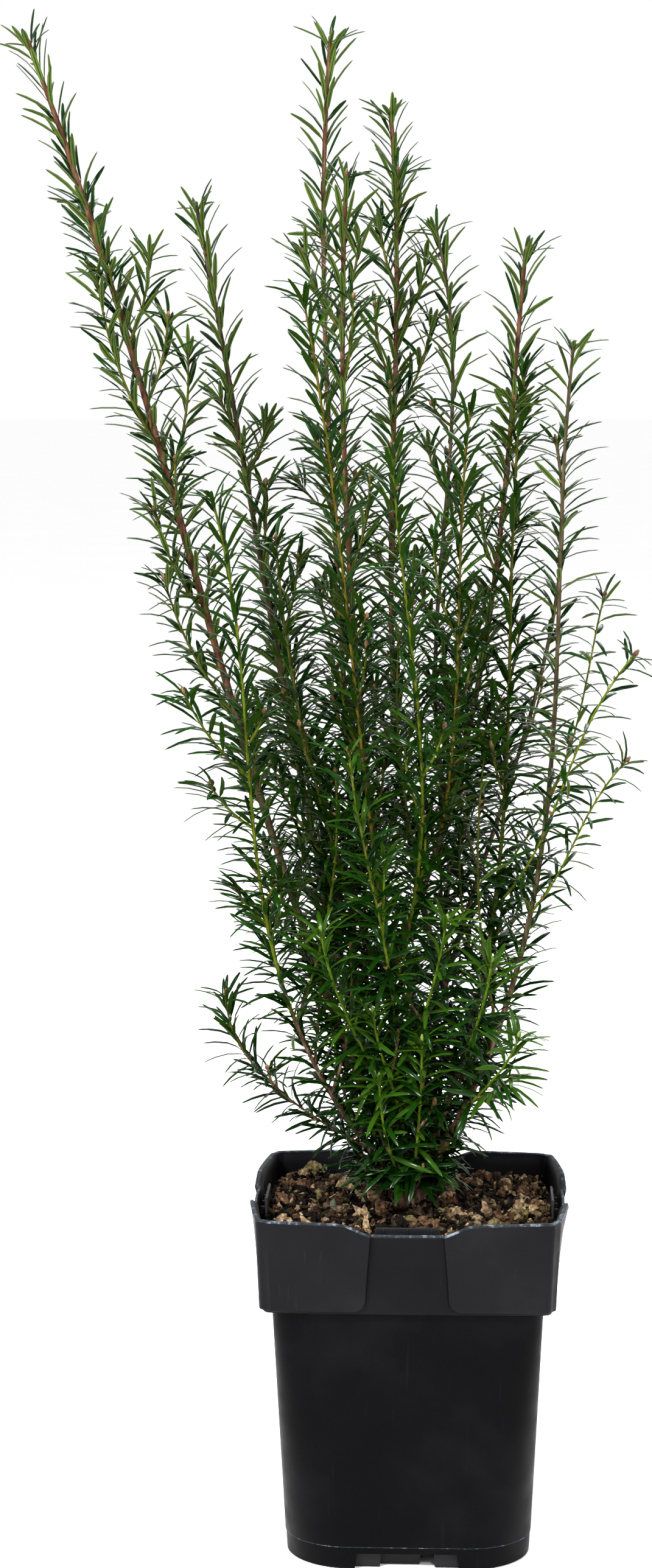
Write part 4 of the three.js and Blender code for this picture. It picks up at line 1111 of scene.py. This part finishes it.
def square_ring(half, corner, bow=0.0, edge=RECESS_HALF_FOOT):
    """Points round a square with round corners: x, y, the outward direction, place along."""
    end = half - corner
    along = side_stops(end, edge)
    out = half + bow * (1 - (along / end) ** 2)
    angle = np.linspace(0, math.pi / 2, CORNER_STEPS + 2)[1:-1]
    along = np.concatenate([along, end + corner * np.sin(angle)])
    out = np.concatenate([out, end + corner * np.cos(angle)])
    rows = []
    for turn in QUARTERS:
        rows.append(np.stack([out * math.sin(turn) + along * math.cos(turn),
                              -out * math.cos(turn) + along * math.sin(turn),
                              np.full(len(out), math.sin(turn)), np.full(len(out), -math.cos(turn)),
                              along], -1))
    return np.concatenate(rows)


def recess_edge(part):
    return lerp(RECESS_HALF_FOOT, RECESS_HALF_TOP, part)


def panel_outline(part):
    """The recess's half width at a part of the collar's height, round the panel's corner."""
    below = PANEL_CORNER - np.clip(COLLAR_HEIGHT * part - PANEL_FOOT, 0, PANEL_CORNER)
    return recess_edge(part) + PANEL_CORNER - math.sqrt(PANEL_CORNER ** 2 - below ** 2)


def panel_mask(along, height):
    """1 on the raised panels of the collar and 0 in the recess between them."""
    part = np.clip((height - COLLAR_FOOT) / COLLAR_HEIGHT, 0, 1)
    across = np.abs(along) - recess_edge(part)
    above = height - COLLAR_FOOT - PANEL_FOOT
    corner_x = np.maximum(PANEL_CORNER - across, 0)
    corner_z = np.maximum(PANEL_CORNER - above, 0)
    distance = np.minimum(np.minimum(across, above), PANEL_CORNER - np.hypot(corner_x, corner_z))
    return smooth((distance + 0.6) / 1.2)


def dip_at(along):
    """How far the rim is lowered at a place along a side."""
    return DIP_DEPTH * smooth((DIP_HALF - np.abs(along)) / (DIP_HALF - DIP_FLAT_HALF))


def collar_ring(part, inset=0.0, raised=0.0, top_round=0.0):
    """A ring round the collar, from its foot at part 0 to the rim at part 1, and its finishes."""
    half = lerp(COLLAR_FOOT_HALF, RIM_HALF, part) - RECESS_DEPTH - inset
    bow = lerp(1.0, RIM_BOW, part ** 1.5)
    ring = square_ring(half, RIM_CORNER, bow, panel_outline(part))
    along = ring[:, 4]
    near_top = smooth((part - 0.35) / 0.65)
    z = COLLAR_FOOT + COLLAR_HEIGHT * part - dip_at(along) * near_top - top_round
    panel = panel_mask(along, COLLAR_FOOT + COLLAR_HEIGHT * part)
    out = raised * panel
    points = np.stack([ring[:, 0] + out * ring[:, 2], ring[:, 1] + out * ring[:, 3], z], -1)
    # Faces in the recess take the darker finish, painted shade.
    return points, np.where(panel > 0.5, PLAIN, SHADED_RECESS)


def body_ring(half, corner, z):
    ring = square_ring(half, corner)
    return np.stack([ring[:, 0], ring[:, 1], np.full(len(ring), float(z))], -1)


def side_ring(part, inset=0):
    """A ring of the body's sides, from the skirt at part 0 to the collar at part 1."""
    half = lerp(BODY_FOOT_HALF, BODY_TOP_HALF, part) - inset
    corner = lerp(FOOT_CORNER - 2, BODY_TOP_CORNER, part) - inset
    return body_ring(half, corner, lerp(SKIRT_HEIGHT, COLLAR_FOOT - 0.2, part))


def lip_ring(part, inset=0.0, raised=RECESS_DEPTH, top_round=0.0):
    return collar_ring(part, inset, raised, top_round)[0]


def pot_rings():
    """Rings from the floor's middle up the inside, over the rim and down to the underside.

    With each goes the finish of the faces between it and the next ring.
    """
    sides = np.linspace(0, 1, 15)
    return [
        (body_ring(SKIRT_HALF - WALL - 8, FOOT_CORNER - 10, FLOOR_TOP), PLAIN),
        (body_ring(SKIRT_HALF - WALL, FOOT_CORNER - WALL, FLOOR_TOP), PLAIN),
        *[(side_ring(part, WALL), PLAIN) for part in sides[1:-1]],
        (body_ring(BODY_TOP_HALF - WALL, BODY_TOP_CORNER, COLLAR_FOOT - 1), PLAIN),
        *[(lip_ring(part, WALL, 0.0), PLAIN) for part in INNER_COLLAR_PARTS],
        (lip_ring(1.0, WALL, RECESS_DEPTH * 0.7, 0.7), WORN),
        (lip_ring(1.0, WALL - 0.5, RECESS_DEPTH * 0.85, 0.1), WORN),
        (lip_ring(1.0, 0.6), WORN),
        (lip_ring(1.0, top_round=0.5), WORN),
        (lip_ring(1.0, 0.05, top_round=1.4), PLAIN),
        *[collar_ring(part, raised=RECESS_DEPTH) for part in COLLAR_PARTS],
        (lip_ring(0.0, 0.35), PLAIN),
        (lip_ring(0.0, 2.2, 0.0), PLAIN),
        (body_ring(BODY_TOP_HALF + 0.8, BODY_TOP_CORNER, COLLAR_FOOT - 0.1), PLAIN),
        # The body's sides take the darker finish, which is painted shade.
        *[(side_ring(part), SHADED_BODY) for part in reversed(sides[1:])],
        (body_ring(BODY_FOOT_HALF, FOOT_CORNER - 2, SKIRT_HEIGHT - 0.3), WORN),
        (body_ring(BODY_FOOT_HALF - 0.1, FOOT_CORNER - 2, SKIRT_HEIGHT - 0.7), SHADED_BODY),
        (body_ring(SKIRT_HALF, FOOT_CORNER - 1, SKIRT_HEIGHT - 1), SHADED_BODY),
        (body_ring(SKIRT_HALF - 0.3, FOOT_CORNER, 5), SHADED_BODY),
        (body_ring(SKIRT_HALF - 0.6, FOOT_CORNER, 0.5), SHADED_BODY),
        (body_ring(SKIRT_HALF - 1.1, FOOT_CORNER, 0), SHADED_BODY),
        (body_ring(SKIRT_HALF - WALL - 0.6, FOOT_CORNER - WALL, 0), SHADED_BODY),
        (body_ring(SKIRT_HALF - WALL - 0.6, FOOT_CORNER - WALL, FLOOR_TOP - FLOOR_THICK), SHADED_BODY),
    ]


def box_mesh(width, depth, height, centre, turn=0.0, taper=0.0):
    """A box's points and faces, turned about Z. `taper` narrows its top at both ends."""
    x, y, z = width / 2, depth / 2, height / 2
    corners = np.array([(sx * (x - (taper if sz > 0 else 0)), sy * y, sz * z)
                        for sz in (-1, 1)
                        for sx, sy in ((-1, -1), (1, -1), (1, 1), (-1, 1))], float)
    corners += np.asarray(centre, float)
    cos = math.cos(turn)
    sin = math.sin(turn)
    turned = corners @ np.array([[cos, sin, 0], [-sin, cos, 0], [0, 0, 1]])
    faces = np.array([(3, 2, 1, 0), (4, 5, 6, 7), (0, 1, 5, 4), (1, 2, 6, 5), (2, 3, 7, 6),
                      (3, 0, 4, 7)])
    return turned, faces


def cylinder_mesh(radius, low, high, centre, sides=24):
    turn = turns(sides)
    ring = np.stack([centre[0] + radius * np.cos(turn), centre[1] + radius * np.sin(turn)], -1)
    points = np.vstack([np.column_stack([ring, np.full(sides, low)]),
                        np.column_stack([ring, np.full(sides, high)])])
    caps = np.array([np.arange(sides)[::-1], np.arange(sides) + sides])
    return points, [grid_faces(2, sides), caps]


def cut_away(piece, cutters):
    """Cuts the cutters' shapes out of a piece and removes them."""
    for cutter in cutters:
        change = piece.modifiers.new("cut", "BOOLEAN")
        change.operation = "DIFFERENCE"
        change.solver = "EXACT"
        change.object = cutter
    graph = bpy.context.evaluated_depsgraph_get()
    mesh = bpy.data.meshes.new_from_object(piece.evaluated_get(graph))
    piece.modifiers.clear()
    piece.data = mesh
    for cutter in cutters:
        bpy.data.objects.remove(cutter)


def make_pot():
    rings = pot_rings()
    columns = len(rings[0][0])
    points = np.concatenate([ring for ring, _ in rings])
    faces = grid_faces(len(rings), columns)
    kinds = np.concatenate([np.broadcast_to(kind, columns) for _, kind in rings[:-1]])
    floor = np.arange(columns)[None, ::-1]
    underside = np.arange(columns)[None] + (len(rings) - 1) * columns
    shell = Heap()
    shell.add(points, [faces, floor, underside], [kinds, PLAIN, PLAIN])
    pot = shell.build("pot_shell", [
        plastic_finish("plastic_black", 0.46, 0.065),
        worn_finish(),
        plastic_finish("plastic_black_body", 0.42, 0.03),
        plastic_finish("plastic_black_recess", 0.5, 0.05),
    ])
    cutters = Heap()
    for turn in QUARTERS:
        cutters.add(*box_mesh(2 * WINDOW_HALF, CUT_DEPTH, 2 * WINDOW_HEIGHT, (0, -SKIRT_HALF, 0),
                              turn, WINDOW_TAPER), 0)
        centre = (DRAIN_OFFSET * math.cos(turn), DRAIN_OFFSET * math.sin(turn))
        cutters.add(*cylinder_mesh(DRAIN_RADIUS, FLOOR_TOP - CUT_DEPTH, FLOOR_TOP + 6, centre),
                    [0, 0])
    cut_away(pot, [cutters.build("pot_cutters", [])])
    pot.data.shade_smooth()
    pot.data.set_sharp_from_angle(angle=math.radians(32))
    return pot


def make_pot_fittings():
    """The label slots inside the rim and the feet under the floor."""
    heap = Heap()
    top = POT_HEIGHT - DIP_DEPTH + TAB_ABOVE_DIP
    plate = RIM_HALF - RECESS_DEPTH - WALL + RIM_BOW - TAB_SETBACK - TAB_THICK / 2
    rib_top = top - TAB_RIB_DROP
    rib_foot = top - TAB_DEPTH
    foot_height = FLOOR_TOP - FOOT_CLEARANCE
    for turn in QUARTERS:
        heap.add(*box_mesh(TAB_WIDTH, TAB_THICK, TAB_DEPTH, (0, -plate, top - TAB_DEPTH / 2), turn,
                           TAB_TAPER), 0)
        for place in (-TAB_RIB_SPACING, 0, TAB_RIB_SPACING):
            heap.add(*box_mesh(TAB_RIB_THICK, TAB_RIB_REACH, rib_top - rib_foot,
                               (place, -plate - TAB_RIB_REACH / 2, (rib_top + rib_foot) / 2),
                               turn), 0)
            heap.add(*box_mesh(TAB_RIB_THICK, SHALLOW_RIB_REACH, SHALLOW_RIB_HEIGHT,
                               (place, -plate - TAB_THICK / 2, top - SHALLOW_RIB_DROP), turn), 0)
        for place, width, setback in FEET:
            heap.add(*box_mesh(width, FOOT_DEPTH, foot_height,
                               (place, setback - SKIRT_HALF, foot_height / 2), turn, -1), 0)
    heap.add(*cylinder_mesh(CENTRE_FOOT_RADIUS, 0, FLOOR_TOP - 1, (0, 0), 32), [0, 0])
    fittings = heap.build("pot_fittings", [plastic_finish("plastic_black_inside", 0.48, 0.13)], 30)
    rounding = fittings.modifiers.new("rounded_edges", "BEVEL")
    rounding.width = 0.35 * MM
    rounding.segments = 2
    return fittings


# ------------------------------------------------------------------ potting mix

# How many of the larger and of the smaller chips have each of CHIP_COLOURS. The smaller chips, lying
# lower between the larger, are mostly of the darkest colour: partly the mix's own dark fines, partly
# painted shade in the gaps.
LUMP_SHARES = [0.14, 0.29, 0.22, 0.25, 0.096, 0.004]
CRUMB_SHARES = [0.42, 0.31, 0.13, 0.105, 0.033, 0.002]
LUMP_SHAPES = 30
CRUMB_SHAPES = 24
LUMPS = 520
CRUMBS = 1900
LUMP_SIZES = (3, 4.3, 8.5)  # the least, the middling and the greatest half length
CRUMB_SIZES = (0.9, 1.9, 3.2)
LUMP_RISE = (-1.8, 1.6)  # above the mix's surface
CRUMB_RISE = (-3.5, 0.4)
BED_SINK = 5  # the bed under the chips lies so far below that surface
SIZE_SPREAD = 0.35
CHIP_TILT = 0.6
BED_HALF = 83.2  # the mix reaches the collar's wall, which bows out between its corners
BED_BOW = 4.3
BED_CORNER = 3.4


def soil_height(x, y):
    """The mix's surface: hummocky, and lower along the walls."""
    edge = np.maximum(np.abs(x), np.abs(y)) / BED_HALF
    hummocks = (1.3 * np.sin(x / 13 + 1.1) * np.cos(y / 11) + 1.0 * np.sin(x / 6.1 + y / 7.7 + 2)
                + 0.6 * np.cos(x / 3.3 - y / 4.1))
    mound = 3 * np.exp(-(x ** 2 + y ** 2) / 18 ** 2)
    return SOIL_LEVEL - 1.5 + hummocks + mound - SOIL_EDGE_DROP * smooth((edge - 0.86) / 0.14)


def bed_place(across, deep):
    """The place in the pot for a place in a square from -1 to 1."""
    corner = BED_CORNER * np.abs(across * deep) ** 6
    return (across * (BED_HALF + BED_BOW * (1 - deep ** 2) - corner),
            deep * (BED_HALF + BED_BOW * (1 - across ** 2) - corner))


def chip_shapes(rng, count, corners, longest_edge):
    """Lumps of bark, each the hull of some random points, split finer and roughened."""
    shapes = []
    for _ in range(count):
        lump = bmesh.new()
        flatness = rng.uniform(0.3, 0.8)
        narrowness = rng.uniform(0.45, 0.95)
        for point in rng.normal(0, 1, (corners, 3)):
            point = point / np.linalg.norm(point) * rng.uniform(0.7, 1.0)
            lump.verts.new(Vector(point * (1, narrowness, flatness)))
        hull = bmesh.ops.convex_hull(lump, input=lump.verts)
        loose = [v for v in hull["geom_interior"] if isinstance(v, bmesh.types.BMVert)]
        bmesh.ops.delete(lump, geom=loose, context="VERTS")
        bmesh.ops.triangulate(lump, faces=lump.faces)
        for _ in range(2):
            long_edges = [e for e in lump.edges if e.calc_length() > longest_edge]
            bmesh.ops.subdivide_edges(lump, edges=long_edges, cuts=1, use_grid_fill=True)
            bmesh.ops.triangulate(lump, faces=lump.faces)
        lump.verts.index_update()
        points = np.array([v.co for v in lump.verts])
        offset = Vector(rng.uniform(0, 50, 3))
        dents = [noise.noise(v.co * 2.6 + offset) for v in lump.verts]
        points *= 1 + 0.5 * np.array(dents)[:, None]
        points += rng.normal(0, 0.05, points.shape)
        faces = np.array([[v.index for v in f.verts] for f in lump.faces])
        shapes.append((points, faces))
        lump.free()
    return shapes


def scatter_chips(heap, rng, shapes, count, sizes, rises, shares):
    """Lays chips on the bed, turned every way, with half lengths about `sizes`."""
    for _ in range(count):
        size = float(np.clip(rng.lognormal(math.log(sizes[1]), SIZE_SPREAD), sizes[0], sizes[2]))
        limit = 1 - (size + 0.5) / BED_HALF
        px, py = bed_place(*rng.uniform(-limit, limit, 2))
        if math.hypot(px, py) < TRUNK_RADIUS + size * 0.7:
            continue
        points, faces = shapes[rng.integers(len(shapes))]
        tilt = Euler((rng.normal(0, CHIP_TILT), rng.normal(0, CHIP_TILT),
                      rng.uniform(0, 2 * math.pi)))
        turned = (points * size) @ np.array(tilt.to_matrix()).T
        height = soil_height(px, py) + rng.uniform(*rises) - 0.15 * size
        heap.add(turned + (px, py, height), faces, rng.choice(len(shares), p=shares))


def make_potting_mix(rng):
    columns = 60
    span = np.linspace(-1, 1, columns)
    x, y = bed_place(*np.meshgrid(span, span, indexing="xy"))
    z = soil_height(x, y) - BED_SINK + rng.normal(0, 0.6, x.shape)
    bed = np.stack([x, y, z], -1).reshape(-1, 3)
    heap = Heap()
    # The bed takes the darkest chip colour: partly the mix's own dark fines, partly painted shade in
    # the gaps between the chips.
    heap.add(bed, grid_faces(columns, columns, closed=False), 0)
    scatter_chips(heap, rng, chip_shapes(rng, CRUMB_SHAPES, 12, 1.3), CRUMBS, CRUMB_SIZES,
                  CRUMB_RISE, CRUMB_SHARES)
    scatter_chips(heap, rng, chip_shapes(rng, LUMP_SHAPES, 14, 0.42), LUMPS, LUMP_SIZES,
                  LUMP_RISE, LUMP_SHARES)
    finishes = [chip_finish(name, colours) for name, colours in CHIP_COLOURS.items()]
    return heap.build("bark_mix", finishes, 24)


def make_fallen_needles(rng):
    """Needles that lie on the mix."""
    store = Needles()
    count = 11
    place = rng.uniform(-62, 62, (count, 2))
    base = np.column_stack([place, soil_height(place[:, 0], place[:, 1]) + 3.4])
    turn = rng.uniform(0, 2 * math.pi, count)
    direction = unit(np.column_stack([np.cos(turn), np.sin(turn), rng.normal(0, 0.06, count)]))
    up = unit(np.column_stack([rng.normal(0, 0.4, (count, 2)), np.ones(count)]))
    normal = without(up, direction)
    store.add(rng.choice([NEEDLE_KINDS["top_deep"], NEEDLE_KINDS["top_worn"]], count),
              np.full(count, NEEDLE_KINDS["rib"]), base=base, foot=base - direction * 1.5,
              along=direction, direction=direction, normal=normal,
              length=rng.uniform(17, 24, count), width=rng.uniform(2.8, 3.4, count),
              lift=rng.normal(0, 0.03, count), sway=rng.normal(0, 0.06, count))
    store.gather()
    return store


# ------------------------------------------------------------------ camera, light and floor

PHOTO_SIZE = (1071, 2576)
FOCAL_PIXELS = 5584
SENSOR = 36
CAMERA_PLACE = (31, -2006, 708)
CAMERA_PITCH = 7.1
CAMERA_YAW = 2.33


def make_camera():
    data = bpy.data.cameras.new("camera")
    data.sensor_width = SENSOR
    data.lens = FOCAL_PIXELS * SENSOR / max(PHOTO_SIZE)
    data.clip_start = 0.05
    data.clip_end = 100
    camera = bpy.data.objects.new("camera", data)
    camera.location = Vector(CAMERA_PLACE) * MM
    camera.rotation_euler = (math.radians(90 - CAMERA_PITCH), 0, math.radians(CAMERA_YAW))
    bpy.context.scene.collection.objects.link(camera)
    bpy.context.scene.camera = camera


def make_light(name, place, target, size, power):
    data = bpy.data.lights.new(name, "AREA")
    data.shape = "RECTANGLE"
    data.size, data.size_y = size
    data.energy = power
    light = bpy.data.objects.new(name, data)
    light.location = place
    light.rotation_euler = (Vector(target) - Vector(place)).to_track_quat("-Z", "Y").to_euler()
    bpy.context.scene.collection.objects.link(light)


def make_studio():
    world = bpy.data.worlds.new("studio")
    world.use_nodes = True
    background = world.node_tree.nodes["Background"]
    background.inputs["Color"].default_value = (1, 1, 1, 1)
    background.inputs["Strength"].default_value = 1.0
    bpy.context.scene.world = world
    bpy.context.scene.view_settings.view_transform = "Standard"
    make_light("top", (-0.2, -0.7, 2.6), (0, 0, 0.4), (0.7, 0.35), 70)
    make_light("key", (-1.5, -1.8, 1.9), (0, 0, 0.42), (0.5, 0.5), 140)
    make_light("front", (0.5, -2.3, 1.5), (0, 0, 0.3), (0.3, 0.3), 24)
    make_light("fill", (1.8, -1.3, 1.2), (0, 0, 0.4), (0.7, 0.7), 30)
    make_light("back", (0.5, 1.8, 1.9), (0, 0, 0.5), (1.2, 1.2), 25)

    finish = Finish("floor_pale", 0.7, 0.2)
    finish.colour(finish.ramp(finish.noise(3), (0.3, 0.7), [(0.965,) * 3, (0.98,) * 3]))
    disc = Heap()
    turn = turns(96)
    radii = np.array([10, 400, 1200, 4000, 12000, 40000.0])
    ring = np.stack([radii[:, None] * np.cos(turn), -radii[:, None] * np.sin(turn),
                     np.zeros((len(radii), len(turn)))], -1)
    middle = np.arange(len(turn))[None, ::-1]
    disc.add(ring.reshape(-1, 3), [grid_faces(len(radii), len(turn)), middle], [0, 0])
    floor = disc.build("floor", [finish.material])
    floor.location.z = -0.3 * MM


# ------------------------------------------------------------------ assembly

# The leaders and shoots whose needles make up each piece. The middle one's have no solid.
REGIONS = {
    "needles_left": ("left_outer", "left_front", "left_inner", "left_low", "left_young", "foot_4",
                     "foot_5"),
    "needles_centre": ("centre_tall", "centre_front_tall", "centre_front", "front_young_tall",
                       "front_young_left", "front_young_right", "front_young_low", "foot_6",
                       "foot_7", "middle"),
    "needles_right": ("right_middle", "right_outer", "right_inner", "right_front_low", "right_low",
                      "right_young", "right_young_low", "right_tall", "foot_1"),
    "needles_back_left": ("left_back", "centre_back_tall", "back_middle", "back_left",
                          "back_left_low", "back_low"),
    "needles_back_right": ("right_back", "centre_back", "right_back_tall", "right_back_low",
                           "back_right", "back_right_low", "foot_2"),
}
SEED = 20


def finish_piece(piece, nodes=()):
    """Fixes a piece to the body, and hides those of the part's nodes that it dresses."""
    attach(piece, "root")
    if nodes:
        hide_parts(*nodes)


def make_plant():
    rng = np.random.default_rng(SEED)
    stem_shoots, twig_shoots = grow_skeleton()
    stems = Heap()
    twigs = Heap()
    buds = Heap()
    add_trunk(stems, rng)
    for heap, group in ((stems, stem_shoots), (twigs, twig_shoots)):
        for shoot in group:
            add_tube(heap, shoot, rng)
            add_buds(buds, shoot, rng)

    woods = [bark_finish(f"bark_{name}", colours) for name, colours in BARKS.items()]
    bud_finishes = [bark_finish("bud_brown", BUD_COLOURS["bud_brown"], 0.6, 0.3),
                    bark_finish("bud_green", BUD_COLOURS["bud_green"], 0.5, 0.2)]
    limbs = [node for node in frame["nodes"] if node.startswith(("trunk", "stem_", "bough_"))]
    finish_piece(stems.build("stems", woods), limbs)
    finish_piece(twigs.build("twigs", woods))
    finish_piece(buds.build("buds", bud_finishes, 40))

    greens = [needle_finish(f"needle_{name}", *look) for name, look in NEEDLE_LOOKS.items()]
    shoots = stem_shoots + twig_shoots
    for region, masses in REGIONS.items():
        store = Needles()
        for shoot in shoots:
            if shoot.mass in masses:
                grow_needles(store, shoot, rng)
        store.gather()
        thin_out(store, shoots)
        heap = Heap()
        store.add_to(heap)
        nodes = [f"foliage_{mass}" for mass in masses if mass != "middle"]
        finish_piece(heap.build(region, greens, 55), nodes)

    fallen = Heap()
    make_fallen_needles(rng).add_to(fallen)
    finish_piece(fallen.build("fallen_needles", greens, 55))


make_camera()
make_studio()
finish_piece(make_pot(), ["pot"])
finish_piece(make_pot_fittings())
finish_piece(make_potting_mix(np.random.default_rng(SEED + 1)), ["potting_mix"])
make_plant()
